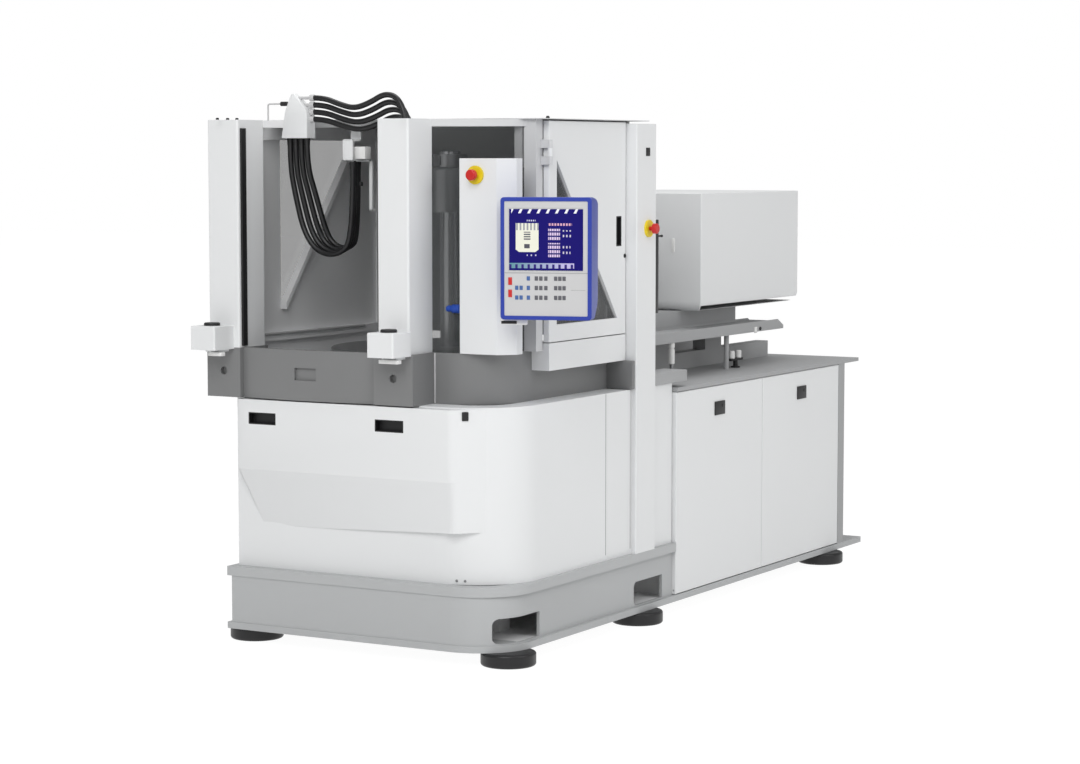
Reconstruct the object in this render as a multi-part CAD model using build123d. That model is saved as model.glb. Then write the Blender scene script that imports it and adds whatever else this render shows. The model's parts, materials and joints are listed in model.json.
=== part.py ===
from build123d import *
import math
import os

# Injection moulding machine with a vertical clamp, a rotary table and a horizontal injection unit.
# Millimetres, +Z up, +X from the loading end to the injection end, -Y is the operator side.
# While it is modelled, x = 0 is the plinth's front face and y = 0 its operator side.

# Plinth and rear skid
TALL_START = 1018
TALL_WIDTH = 162
TALL_END = TALL_START + TALL_WIDTH
PLINTH_LENGTH = TALL_END + 182
PLINTH_WIDTH = 1190
PLINTH_WALL = 12
PLINTH_CORNER = 215
SKID_LENGTH = 3240
FOOT_HEIGHT = 50
FOOT_RADIUS = 100
FOOT_INSET = 45
FOOT_XS = (125, PLINTH_LENGTH - 244, SKID_LENGTH - 355)
FLANGE_THICK = 25
FLANGE_LIP = 18
FLANGE_WIDTH = 410
POST_HALF = 40
POST_XS = (360, PLINTH_LENGTH - 42)
POST_YS = (240, PLINTH_WIDTH - 240)
RIM_HEIGHT = 35
PLINTH_TOP = 285
SLOT_LENGTH = 240
SLOT_HEIGHT = 92
SLOT_BOTTOM = 78
SLOT_STARTS = (62, PLINTH_LENGTH - 326)
SLOT_ROUND = 22
SLOT_REACH = 140

# White base round the clamp
BASE_FRONT = 48
BASE_INSET = 20
BASE_CORNER = 240
BASE_WALL = 3
BAND_BOTTOM = 920
BAND_TOP = 1105
APRON_REACH = 50
APRON_WALL = 4
APRON_BOTTOM = 440
APRON_CREASE = 640
APRON_TOP = 915
APRON_NEAR = 205
APRON_FAR = 1140
APRON_ROUND = 18
KNEE_DEPTH = 12
KNEE_INSET = 150
PANEL_SEAMS = (TALL_START - 198, TALL_START - 33)
HANDLE_LENGTH = 122
HANDLE_HEIGHT = 44
HANDLE_TOP = 868
HANDLE_DEPTH = 30
HANDLE_YS = (405, 962)

# Dark band round the bed
BAND_NEAR = 118
BAND_FAR = 1262
BAND_WALL = 14
BAND_STEP = 150
BAND_CORNER = 190
BLOCK_NEAR = (366, 532)
BLOCK_FAR = (1121, 1271)
FRONT_BULGE = 26
POCKET_CENTRE = 828
POCKET_LENGTH = 94
POCKET_HEIGHT = 46
POCKET_DEPTH = 8
LOCK_RADIUS = 15
BED_FRONT = 46
BED_END = PLINTH_LENGTH - 17
POCKET_MARGIN = 10

# Bed, rotary table and clamp
BED_THICK = 100
BED_BOTTOM = 928
BED_MARGIN = 6
TABLE_X = 640
TABLE_Y = 600
TABLE_RADIUS = 455
TABLE_THICK = 62
TABLE_LIFT = 0.3
HUB_CLEARANCE = 0.05
STATION_OFFSET = 262
STATION_HOLE_PITCH = 175
STATION_HOLE_RADIUS = 8
STATION_HOLE_DEPTH = 32
EJECTOR_RADIUS = 14
EJECTOR_HOLE_RADIUS = 18
EJECTOR_CLEARANCE = 0.05
EJECTOR_STROKE = 55
EJECTOR_BODY = 130
TIE_RADIUS = 40
BUSH_WALL = 12
TIE_REAR_X = TALL_START + 44
TIE_SPREAD = 405
NUT_RADIUS = 66
NUT_HEIGHT = 48
NUT_SLOTS = 6
BAR_STUB = 14
YOKE_MARGIN = 78
PLATEN_BOTTOM = 1600
PLATEN_THICK = 170
PLATEN_MARGIN = 92
CLAMP_STROKE = 220
YOKE_BOTTOM = 560
YOKE_THICK = 100
RAM_RADIUS = 62
RAM_CLEARANCE = 0.08
RAM_POCKET = 70
BARREL_WALL = 34
CYLINDER_LENGTH = 245
RING_BORE = 80
RING_DEPTH = 12
MOTOR_OUTER = 115
MOTOR_HEIGHT = 60

# Guard over the clamp
GUARD_TOP = 1944
SHEET = 3
EDGE_ROUND = 4
COLUMN_DEPTH = 158
COLUMN_NEAR = (381, 513)
COLUMN_FAR = (1123, 1261)
CURTAIN_WIDTH = 26
CURTAIN_THICK = 9
BOX_REACH = 120
BOX_WIDTH = 110
BOX_HEIGHT = 88
BUTTON_RADIUS = 30
BUTTON_HEIGHT = 16
BUTTON_TRAVEL = 6
BUTTON_PLAY = 0.4
WALL_X = TALL_END
WALL_Z = 1770
DOOR_Y = 45
DOOR_START = 420
DOOR_GAP = 4
DOOR_END = TALL_START - DOOR_GAP
DOOR_BOTTOM = 1136
DOOR_THICK = 24
KNUCKLE_X = 410
KNUCKLE_Y = 36
KNUCKLE_RADIUS = 9
KNUCKLE_PIN = 5
KNUCKLE_LENGTH = 30
KNUCKLE_ZS = (1250, 1780)
PANEL_BOTTOM = 1032
POST_WIDTH = 48
TALL_DEPTH = 90
TALL_TOP = 1934
WINDOW_LOW = 1198
WINDOW_HIGH = 1797
GLASS = 5
FAR_INSET = 5
FRAME_THICK = 30
TOP_BEAM = 72
BRACE = 26
WINDOW_START = 450
WINDOW_END = DOOR_END - 74
WINDOW_X = 476
WINDOW_RUN = DOOR_END - 544
POST_NEAR = 70
POST_FAR = 160
RAIL_DROP = 26
NOZZLE_OPENING = 190
GRIP_INSET = 36
GRIP_WIDTH = 42
GRIP_LOW = 1470
GRIP_HIGH = 1584
GRIP_DEPTH = 16

# Control column and panel
CONTROL_FRONT = 150
CONTROL_BACK = 245
CONTROL_FAR = 262
CONTROL_NEAR = 54
CONTROL_CHAMFER = 52
CONTROL_TOP = 1803
STOP_Z = 1744
STOP_Y = 192
STOP_PLATE_RADIUS = 33
STOP_PLATE_THICK = 8
STOP_RADIUS = 20
STOP_STEM_RADIUS = 8
STOP_PLAY = 0.4
STOP_REACH = 34
STOP_TRAVEL = 4
STOP_REAR_X = TALL_START + 94
STOP_REAR_Z = 1534
PANEL_WIDTH = 326
PANEL_HEIGHT = 428
PANEL_DEPTH = 128
PANEL_ANGLE = 17
PANEL_LEFT_X = 46
PANEL_LEFT_Y = 30
PANEL_FOOT_Z = 1240
HINGE_OFFSET = 112
HINGE_BEHIND = 46
HINGE_RADIUS = 14
HINGE_PLAY = 0.05
BEZEL = 14
BEZEL_DEPTH = 12
PANEL_SHOULDER = 58
PANEL_TAPER = 22
PANEL_SLOPE = 70
PANEL_ROUND = 12
SCREEN_LOW = 170
SCREEN_HIGH = 390
ARM_Z = 1400
ARM_HEIGHT = 70
ARM_WIDTH = 40
LUG_HEIGHT = 26
LUG_GAP = 0.3

# Rear cabinet
CABINET_END = SKID_LENGTH - 265
CABINET_BOTTOM = 78
CABINET_TOP = 885
DOOR_SPLIT = (PLINTH_LENGTH + CABINET_END) / 2
CABINET_DOOR_THICK = 20
CABINET_GAP = 4
REAR_POST = 65
TOP_LENGTH = SKID_LENGTH - 50
TOP_THICK = 16
LATCH_X = (PLINTH_LENGTH + 390, DOOR_SPLIT + 397)
LATCH_Z = 790
LATCH_RADIUS = 20
LATCH_SIZE = 58
LATCH_PLAY = 0.05
COVER_PIVOT = 14
COVER_PIN = 4

# Injection unit
UNIT_Y = 600
AXIS_Z = 1290
COVER_FRONT = PLINTH_LENGTH + 718
COVER_LENGTH = 990
COVER_WIDTH = 700
COVER_BOTTOM = 1158
COVER_TOP = 1656
COVER_WALL = 4
UNIT_TRAVEL = 150
RAIL_HEIGHT = 70
RAIL_WIDTH = 60
RAIL_SPACING = 340
RAIL_START = PLINTH_LENGTH + 178
RAIL_END = TOP_LENGTH - 110
SHOE_LIFT = 0.05
CARRIAGE_START = COVER_FRONT - 220
CARRIAGE_END = COVER_FRONT + 570
SHOE_LENGTH = 160
SHOE_INSETS = (60, 220)
CARRIAGE_HALF = 240
CARRIAGE_BOTTOM = 1060
HOUSING_START = COVER_FRONT + 100
HOUSING_END = COVER_FRONT + COVER_LENGTH - 170
HOUSING_TOP = 1450
HOUSING_HALF = 150
HOUSING_GAP = 2
CAVE_START = HOUSING_START + 160
CAVE_END = HOUSING_END - 40
THRUST_START = 60
THRUST_LENGTH = 220
THRUST_HALF = 88
BARREL_RADIUS = 56
BARREL_BORE = 22
SCREW_CLEARANCE = 0.06
BAND_COUNT = 6
BAND_PITCH = 100
FLIGHTS = 18
FLIGHT_PITCH = 30
NOZZLE_TIP_X = WALL_X + 82
NOZZLE_RADIUS = 18
NOZZLE_LENGTH = 100
NOZZLE_CONE = 50
NOZZLE_BORE = 3
SCREW_STROKE = 140
TRAY_Y = 205
TRAY_LENGTH = 1640
TRAY_WIDTH = 150
TRAY_HEIGHT = 44
TRAY_BOTTOM = 1048
TRAY_CUT = 60
TRAY_POSTS = (PLINTH_LENGTH + 118, PLINTH_LENGTH + 938)
COVER_ROUND = 40

# Hoses
HOSE_RADIUS = 10.5
HOSE_PITCH = 25.5
HOOD_X = 300
HOOD_Y = 1060
HOOD_BOTTOM = 1878
HOOD_TOP = 2042
HOOD_SLANT = 42
HOOD_WIDTH = 116
HOOD_DEPTH = 60
MANIFOLD_X = 215
MANIFOLD_Y = 522
MANIFOLD_TOP = 1790
BRACKET_X = 350
BRACKET_Y = 838
BRACKET_Z = 1790
CROSS_RAIL_X = 360
LOOP_PITCH_X = 24
LOOP_PITCH_Y = 8.5
LOOP_STEP = 8
# Share of the way across and along, and height: above the loop's bottom as a share of its width, or fixed.
LOOP_BOTTOM = 1440
LOOP_LEG = ((0, 0, HOOD_BOTTOM), (0, 0, 1775), (0.45, 0.06, 1670))
LOOP_BEND = ((0.92, 0.19, 0.3), (1, 0.42, 0.03), (1, 0.76, 0), (1, 1, 0.24))
OVER_SHAPE = (
    (0, 0, 0),
    (0, 0.12, 0),
    (0.25, 0.3, -26),
    (0.45, 0.46, -42),
    (0.62, 0.62, -22),
    (0.8, 0.78, 12),
    (0.93, 0.92, -6),
    (1, 1, -90),
    (1, 1, 0),
)


def block(x0, x1, y0, y1, z0, z1):
    """A box from its six faces."""
    size = Box(x1 - x0, y1 - y0, z1 - z0)
    return Pos((x0 + x1) / 2, (y0 + y1) / 2, (z0 + z1) / 2) * size


def rod(x, y, z0, z1, radius):
    """An upright cylinder."""
    return Pos(x, y, (z0 + z1) / 2) * Cylinder(radius, z1 - z0)


def rod_x(x0, x1, y, z, radius):
    """A cylinder along X."""
    return Pos((x0 + x1) / 2, y, z) * Rot(0, 90, 0) * Cylinder(radius, x1 - x0)


def rod_y(x, y0, y1, z, radius):
    """A cylinder along Y."""
    return Pos(x, (y0 + y1) / 2, z) * Rot(90, 0, 0) * Cylinder(radius, y1 - y0)


def prism(outline, z0, z1):
    """A flat face in plan, raised from z0 to z1."""
    return Pos(0, 0, z0) * extrude(outline, z1 - z0)


def polygon(points):
    """A flat face through the points, in the order given."""
    return make_face(Polyline(*points, close=True))


def rounded_plan(x0, x1, y0, y1, radius):
    """A rectangle in plan whose near front corner is rounded."""
    arc = CenterArc((x0 + radius, y0 + radius), radius, 180, 90)
    sides = Polyline((x0 + radius, y0), (x1, y0), (x1, y1), (x0, y1), (x0, y0 + radius))
    return make_face([arc, sides])


def shell_plan(x0, x1, y0, y1, radius, wall):
    """The wall round a rounded plan, open at its rear."""
    outer = rounded_plan(x0, x1, y0, y1, radius)
    inner = rounded_plan(x0 + wall, x1 + 1, y0 + wall, y1 - wall, radius - wall)
    return outer - inner


def plinth_frame():
    """Front plinth, rear skid and the four posts that carry the bed, welded as one frame."""
    wall_y0 = FLANGE_LIP
    wall_y1 = PLINTH_WIDTH - FLANGE_LIP
    flange_z = FOOT_HEIGHT + FLANGE_THICK
    outer = rounded_plan(0, PLINTH_LENGTH, 0, PLINTH_WIDTH, PLINTH_CORNER)
    margin = FLANGE_WIDTH
    hole = rounded_plan(margin, PLINTH_LENGTH - margin, margin, PLINTH_WIDTH - margin, 60)
    frame = prism(outer - hole, FOOT_HEIGHT, flange_z)
    wall = shell_plan(4, PLINTH_LENGTH, wall_y0, wall_y1, PLINTH_CORNER - wall_y0, PLINTH_WALL)
    frame += prism(wall, flange_z, PLINTH_TOP)
    rim = shell_plan(0, PLINTH_LENGTH, 0, PLINTH_WIDTH, PLINTH_CORNER, 48)
    frame += prism(rim, PLINTH_TOP - RIM_HEIGHT, PLINTH_TOP)
    rear_x = PLINTH_LENGTH
    frame += block(rear_x - PLINTH_WALL, rear_x, wall_y0, wall_y1, flange_z, PLINTH_TOP)
    for y0 in (0, PLINTH_WIDTH - 90):
        frame += block(rear_x, SKID_LENGTH, y0, y0 + 90, FOOT_HEIGHT, flange_z)
    for x0 in (rear_x, (rear_x + SKID_LENGTH) / 2, SKID_LENGTH - 90):
        frame += block(x0, x0 + 90, 90, PLINTH_WIDTH - 90, FOOT_HEIGHT, flange_z)
    for x0 in SLOT_STARTS:
        for y0, y1 in ((-1, SLOT_REACH), (PLINTH_WIDTH - 80, PLINTH_WIDTH + 1)):
            slot = block(x0, x0 + SLOT_LENGTH, y0, y1, SLOT_BOTTOM, SLOT_BOTTOM + SLOT_HEIGHT)
            upright = slot.edges().filter_by(Axis.Y)
            frame -= fillet(upright.group_by(Axis.X)[0], SLOT_ROUND)
    for x in POST_XS:
        for y in POST_YS:
            frame += block(x - POST_HALF, x + POST_HALF, y - POST_HALF, y + POST_HALF, flange_z, BED_BOTTOM)
    return frame


def machine_feet():
    """Round rubber levelling feet, one under each corner and one under the middle of each side."""
    feet = []
    for x in FOOT_XS:
        for y in (FOOT_INSET, PLINTH_WIDTH - FOOT_INSET):
            foot = rod(x, y, 0, FOOT_HEIGHT, FOOT_RADIUS)
            foot = fillet(foot.edges().filter_by(GeomType.CIRCLE), 10)
            feet.append(foot)
    return Compound(children=feet)


def base_housing():
    """White sheet housing round the clamp's lower half, rounded at the operator's corner."""
    x1 = TALL_END
    plan = shell_plan(BASE_FRONT, x1, BASE_INSET, PLINTH_WIDTH - BASE_INSET, BASE_CORNER, BASE_WALL)
    housing = prism(plan, PLINTH_TOP, BAND_BOTTOM)
    # The ledge that closes the housing against the narrower band above it.
    ledge = shell_plan(BASE_FRONT, x1, BASE_INSET, PLINTH_WIDTH - BASE_INSET, BASE_CORNER, 100)
    housing += prism(ledge, BAND_BOTTOM - BASE_WALL, BAND_BOTTOM)
    housing -= block(TALL_START, TALL_END, 0, TALL_DEPTH, PLINTH_TOP, BAND_BOTTOM + 1)
    # Pressed seams where the side panels meet.
    for x in PANEL_SEAMS:
        for y in (BASE_INSET - 1, PLINTH_WIDTH - BASE_INSET - 0.5):
            housing -= block(x, x + 6, y, y + 1.5, PLINTH_TOP + 5, BAND_BOTTOM - 5)
    # The rear side panels stand beside the tall column as far as the rear cabinet.
    for y in (BASE_INSET, PLINTH_WIDTH - BASE_INSET - BASE_WALL):
        housing += block(x1, PLINTH_LENGTH - 2, y, y + BASE_WALL, PLINTH_TOP, BAND_BOTTOM)
    return housing


def front_apron():
    """Bulged front cover with a slanted knee space below and two hand recesses."""
    front = BASE_FRONT - APRON_REACH
    y0 = APRON_NEAR
    y1 = APRON_FAR
    upper = block(front, BASE_FRONT, y0, y1, APRON_CREASE, APRON_TOP)
    wide = Rectangle(APRON_REACH, y1 - y0)
    narrow = Rectangle(KNEE_DEPTH, y1 - y0 - KNEE_INSET)
    top = Pos((front + BASE_FRONT) / 2, (y0 + y1) / 2, APRON_CREASE) * wide
    foot = Pos(BASE_FRONT - KNEE_DEPTH / 2, (y0 + y1 - KNEE_INSET) / 2, APRON_BOTTOM) * narrow
    apron = upper + loft([foot, top])
    edges = apron.edges().filter_by(Axis.Z).group_by(Axis.X)[0]
    apron = fillet(edges, APRON_ROUND)
    wall = APRON_WALL
    inside = block(front + wall, BASE_FRONT + 1, y0 + wall, y1 - wall, APRON_CREASE + wall, APRON_TOP - wall)
    apron -= fillet(inside.edges().filter_by(Axis.Z).group_by(Axis.X)[0], APRON_ROUND - wall)
    for y in HANDLE_YS:
        z0 = HANDLE_TOP - HANDLE_HEIGHT
        apron -= block(front - 1, front + HANDLE_DEPTH, y, y + HANDLE_LENGTH, z0, HANDLE_TOP)
    return apron


def apron_handles():
    """Black recessed grips in the apron, each a tray with an upper lip."""
    front = BASE_FRONT - APRON_REACH
    grips = []
    for y in HANDLE_YS:
        z0 = HANDLE_TOP - HANDLE_HEIGHT
        grip = block(front + 1, front + HANDLE_DEPTH, y, y + HANDLE_LENGTH, z0, HANDLE_TOP)
        grip -= block(front, front + HANDLE_DEPTH - 4, y + 4, y + HANDLE_LENGTH - 4, z0 + 4, HANDLE_TOP - 4)
        grips.append(grip)
    return Compound(children=grips)


def band_outline():
    """The plan of the dark band: stepped blocks, a bulged front and a rounded corner."""
    front = 22
    n0, n1 = BLOCK_NEAR
    f0, f1 = BLOCK_FAR
    corner = (BAND_STEP + BAND_CORNER, BAND_NEAR + BAND_CORNER)
    bulge = ThreePointArc((front, n1), (front - FRONT_BULGE, (n1 + f0) / 2), (front, f0))
    far = Polyline((front, f0), (0, f0), (0, f1), (BAND_STEP, f1), (BAND_STEP, BAND_FAR))
    rest = Polyline((BAND_STEP, BAND_FAR), (WALL_X, BAND_FAR), (WALL_X, BAND_NEAR), (corner[0], BAND_NEAR))
    turn = CenterArc(corner, BAND_CORNER, 180, 90)
    near = Polyline((BAND_STEP, corner[1]), (BAND_STEP, n0), (0, n0), (0, n1), (front, n1))
    return make_face([bulge, far, rest, turn, near])


def bed_outline(gap, end):
    """The plan inside the band, drawn in by the gap and open towards the injection end."""
    wall = BAND_WALL + gap
    front = BED_FRONT - BED_MARGIN + gap
    step = BAND_STEP + wall
    near, far = BAND_NEAR + wall, BAND_FAR - wall
    pocket = (BLOCK_NEAR[1] + POCKET_MARGIN + gap, BLOCK_FAR[0] - POCKET_MARGIN - gap)
    corner = (BAND_STEP + BAND_CORNER, BAND_NEAR + BAND_CORNER)
    turn = CenterArc(corner, BAND_CORNER - wall, 180, 90)
    sides = Polyline((corner[0], near), (end, near), (end, far), (step, far), (step, pocket[1]), (front, pocket[1]))
    rest = Polyline((front, pocket[1]), (front, pocket[0]), (step, pocket[0]), (step, corner[1]))
    return make_face([turn, sides, rest])


def bed_skirt():
    """Cast band round the bed: the corner blocks, the bulged front and the rounded corner."""
    skirt = prism(band_outline(), BAND_BOTTOM, BAND_TOP)
    skirt -= prism(bed_outline(0, WALL_X + 1), BAND_BOTTOM - 1, BAND_TOP + 1)
    for y0, y1 in (BLOCK_NEAR, BLOCK_FAR):
        skirt -= rod_x(-1, 18, (y0 + y1) / 2, (BAND_BOTTOM + BAND_TOP) / 2 + 5, LOCK_RADIUS)
    pocket_z = (BAND_BOTTOM + BAND_TOP) / 2 + 5
    half = POCKET_LENGTH / 2
    rise = POCKET_HEIGHT / 2
    pocket_x = POCKET_DEPTH
    skirt -= block(-20, pocket_x, POCKET_CENTRE - half, POCKET_CENTRE + half, pocket_z - rise, pocket_z + rise)
    return skirt


def station_centres():
    """The loading and moulding stations, either side of the table's centre."""
    return [(TABLE_X + sign * STATION_OFFSET, TABLE_Y) for sign in (-1, 1)]


def tie_centres():
    """The central tie bar and the two behind the moulding station."""
    return [
        (TABLE_X, TABLE_Y),
        (TIE_REAR_X, TABLE_Y - TIE_SPREAD),
        (TIE_REAR_X, TABLE_Y + TIE_SPREAD),
    ]


def bed_plate():
    """Thick fixed plate under the table, bored for the tie bars, the ram and the ejector."""
    top = BED_BOTTOM + BED_THICK
    bed = prism(bed_outline(BED_MARGIN, BED_END), BED_BOTTOM, top)
    for x, y in tie_centres():
        bed -= rod(x, y, BED_BOTTOM - 1, top + 1, TIE_RADIUS + BUSH_WALL)
    ram_x, ram_y = station_centres()[1]
    bed -= rod(ram_x, ram_y, BED_BOTTOM - 1, BED_BOTTOM + RAM_POCKET, RAM_RADIUS + RAM_CLEARANCE)
    load_x, load_y = station_centres()[0]
    bed -= rod(load_x, load_y, BED_BOTTOM - 1, top + 1, EJECTOR_RADIUS + EJECTOR_CLEARANCE)
    return bed


def tie_bushes():
    """Bronze guide bushes pressed into the bed round the two rear tie bars."""
    top = BED_BOTTOM + BED_THICK
    bushes = []
    for x, y in tie_centres()[1:]:
        bush = rod(x, y, BED_BOTTOM, top, TIE_RADIUS + BUSH_WALL)
        bushes.append(bush - rod(x, y, BED_BOTTOM - 1, top + 1, TIE_RADIUS + HUB_CLEARANCE))
    return Compound(children=bushes)


def rotary_table():
    """Two-station turning plate with its hub bore, tapped holes, ejector holes and edge groove."""
    z0 = BED_BOTTOM + BED_THICK + TABLE_LIFT
    z1 = z0 + TABLE_THICK
    table = rod(TABLE_X, TABLE_Y, z0, z1, TABLE_RADIUS)
    table = chamfer(table.edges().group_by(Axis.Z)[-1], 4)
    table += rod(TABLE_X, TABLE_Y, BED_BOTTOM - MOTOR_HEIGHT, z0 + 1, TIE_RADIUS + BUSH_WALL - HUB_CLEARANCE)
    table -= rod(TABLE_X, TABLE_Y, BED_BOTTOM - MOTOR_HEIGHT - 1, z1 + 1, TIE_RADIUS + HUB_CLEARANCE)
    for x, y in station_centres():
        table -= rod(x, y, z0 - 1, z1 + 1, EJECTOR_HOLE_RADIUS)
        table -= rod(x, y, z1 - RING_DEPTH, z1 + 1, RING_BORE)
        for corner in GridLocations(STATION_HOLE_PITCH, STATION_HOLE_PITCH, 2, 2):
            hole = rod(x, y, z1 - STATION_HOLE_DEPTH, z1 + 1, STATION_HOLE_RADIUS)
            table -= corner * hole
    return table


def clamp_platen():
    """Upper moving plate, a thick web between its three tie-bar bosses, bored and tapped below."""
    z0 = PLATEN_BOTTOM
    z1 = z0 + PLATEN_THICK
    rims = [(Pos(x, y) * Circle(PLATEN_MARGIN)).edge() for x, y in tie_centres()]
    platen = prism(make_hull(rims), z0, z1)
    platen = chamfer(platen.edges().group_by(Axis.Z)[-1], 10)
    for x, y in tie_centres():
        platen -= rod(x, y, z0 - 1, z1 + 1, TIE_RADIUS)
    x, y = station_centres()[1]
    platen -= rod(x, y, z0 - 1, z0 + RING_DEPTH, RING_BORE)
    for corner in GridLocations(STATION_HOLE_PITCH, STATION_HOLE_PITCH, 2, 2):
        platen -= corner * rod(x, y, z0 - 1, z0 + STATION_HOLE_DEPTH, STATION_HOLE_RADIUS)
    return platen


def tie_bars():
    """Three turned bars that draw the upper plate down, one of them through the table's hub."""
    bars = []
    z0 = YOKE_BOTTOM - NUT_HEIGHT - BAR_STUB
    z1 = PLATEN_BOTTOM + PLATEN_THICK + NUT_HEIGHT + BAR_STUB
    for x, y in tie_centres():
        bar = rod(x, y, z0, z1, TIE_RADIUS)
        bars.append(chamfer(bar.edges().filter_by(GeomType.CIRCLE), 4))
    return Compound(children=bars)


def tie_bar_nuts():
    """Round slotted nuts above the upper plate and below the yoke."""
    nuts = []
    for x, y in tie_centres():
        for z in (PLATEN_BOTTOM + PLATEN_THICK, YOKE_BOTTOM - NUT_HEIGHT):
            nut = rod(x, y, z, z + NUT_HEIGHT, NUT_RADIUS) - rod(x, y, z - 1, z + NUT_HEIGHT + 1, TIE_RADIUS)
            for turn in range(NUT_SLOTS):
                notch = Box(14, 14, NUT_HEIGHT - 14)
                angle = turn * 360 / NUT_SLOTS
                nut -= Pos(x, y, z + NUT_HEIGHT / 2) * Rot(0, 0, angle) * Pos(NUT_RADIUS, 0, 0) * notch
            nuts.append(nut)
    return Compound(children=nuts)


def clamp_yoke():
    """Lower moving plate that the ram pushes down and the tie bars hang from."""
    rims = [(Pos(x, y) * Circle(YOKE_MARGIN)).edge() for x, y in tie_centres()]
    yoke = prism(make_hull(rims), YOKE_BOTTOM, YOKE_BOTTOM + YOKE_THICK)
    for x, y in tie_centres():
        yoke -= rod(x, y, YOKE_BOTTOM - 1, YOKE_BOTTOM + YOKE_THICK + 1, TIE_RADIUS)
    return yoke


def clamp_ram():
    """Plunger between the yoke and the clamp cylinder."""
    x, y = station_centres()[1]
    z0 = YOKE_BOTTOM + YOKE_THICK
    return rod(x, y, z0, BED_BOTTOM + RAM_POCKET - 12, RAM_RADIUS)


def clamp_cylinder():
    """Clamp cylinder under the bed, with a bolting flange at its top."""
    x, y = station_centres()[1]
    z0 = BED_BOTTOM - CYLINDER_LENGTH
    barrel = rod(x, y, z0, BED_BOTTOM, RAM_RADIUS + BARREL_WALL)
    barrel += rod(x, y, BED_BOTTOM - 40, BED_BOTTOM, RAM_RADIUS + BARREL_WALL + 38)
    return barrel - rod(x, y, z0 - 1, BED_BOTTOM + 1, RAM_RADIUS + RAM_CLEARANCE)


def table_drive():
    """Direct drive: a fixed motor ring round the table's hub, bolted under the bed."""
    ring = rod(TABLE_X, TABLE_Y, BED_BOTTOM - MOTOR_HEIGHT, BED_BOTTOM, MOTOR_OUTER)
    return ring - rod(TABLE_X, TABLE_Y, 0, BED_BOTTOM + 1, TIE_RADIUS + BUSH_WALL)


def ejector_cylinder():
    """Small cylinder under the loading station."""
    x, y = station_centres()[0]
    z0 = BED_BOTTOM - EJECTOR_BODY
    body = block(x - 40, x + 40, y - 40, y + 40, z0, BED_BOTTOM)
    return body - rod(x, y, z0 + 15, BED_BOTTOM + 1, EJECTOR_RADIUS + EJECTOR_CLEARANCE)


def ejector_rod():
    """Rod that rises through the bed and the table's ejector hole."""
    x, y = station_centres()[0]
    pin = rod(x, y, BED_BOTTOM - EJECTOR_BODY + 16, BED_BOTTOM + BED_THICK - 2, EJECTOR_RADIUS)
    return chamfer(pin.edges().group_by(Axis.Z)[-1], 2)


def guard_column(y0, y1):
    """Folded front column, a channel open to the rear with its front edges rounded."""
    column = block(0, COLUMN_DEPTH, y0, y1, BAND_TOP, GUARD_TOP)
    column = fillet(column.edges().filter_by(Axis.Z).group_by(Axis.X)[0], 8)
    column -= block(SHEET, COLUMN_DEPTH + 1, y0 + SHEET, y1 - SHEET, BAND_TOP + SHEET, GUARD_TOP - SHEET)
    return column


def light_curtains():
    """The sender and receiver bars of the light curtain, facing across the loading opening."""
    x0 = 14
    bars = []
    for y in (COLUMN_NEAR[1], COLUMN_FAR[0] - CURTAIN_THICK):
        bars.append(block(x0, x0 + CURTAIN_WIDTH, y, y + CURTAIN_THICK, BAND_TOP + 6, GUARD_TOP - 31))
    return Compound(children=bars)


def box_starts():
    """The near faces of the two-hand boxes."""
    return COLUMN_NEAR[0] - 9, COLUMN_FAR[1] - BOX_WIDTH - 3


def two_hand_box(y0):
    """Box at the foot of a front column, with the bore for its palm button."""
    z0 = BAND_TOP - 5
    box = block(-BOX_REACH, 0, y0, y0 + BOX_WIDTH, z0, z0 + BOX_HEIGHT)
    box = fillet(box.edges().filter_by(Axis.Z).group_by(Axis.X)[0], 6)
    box = fillet(box.edges().group_by(Axis.Z)[-1].filter_by(Axis.X), EDGE_ROUND)
    centre = (-BOX_REACH / 2, y0 + BOX_WIDTH / 2)
    box += block(-60, 0, y0 + 24, y0 + BOX_WIDTH - 24, z0 - 10, z0)
    box -= rod(*centre, z0 + BOX_HEIGHT - BUTTON_TRAVEL - 6, z0 + BOX_HEIGHT + 1, BUTTON_RADIUS + BUTTON_PLAY)
    return box


def two_hand_button(y0):
    """Palm button that sinks into its box."""
    top = BAND_TOP - 5 + BOX_HEIGHT
    centre = (-BOX_REACH / 2, y0 + BOX_WIDTH / 2)
    button = rod(*centre, top - 5, top - 5 + BUTTON_HEIGHT, BUTTON_RADIUS)
    return fillet(button.edges().group_by(Axis.Z)[-1], 5)


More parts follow.
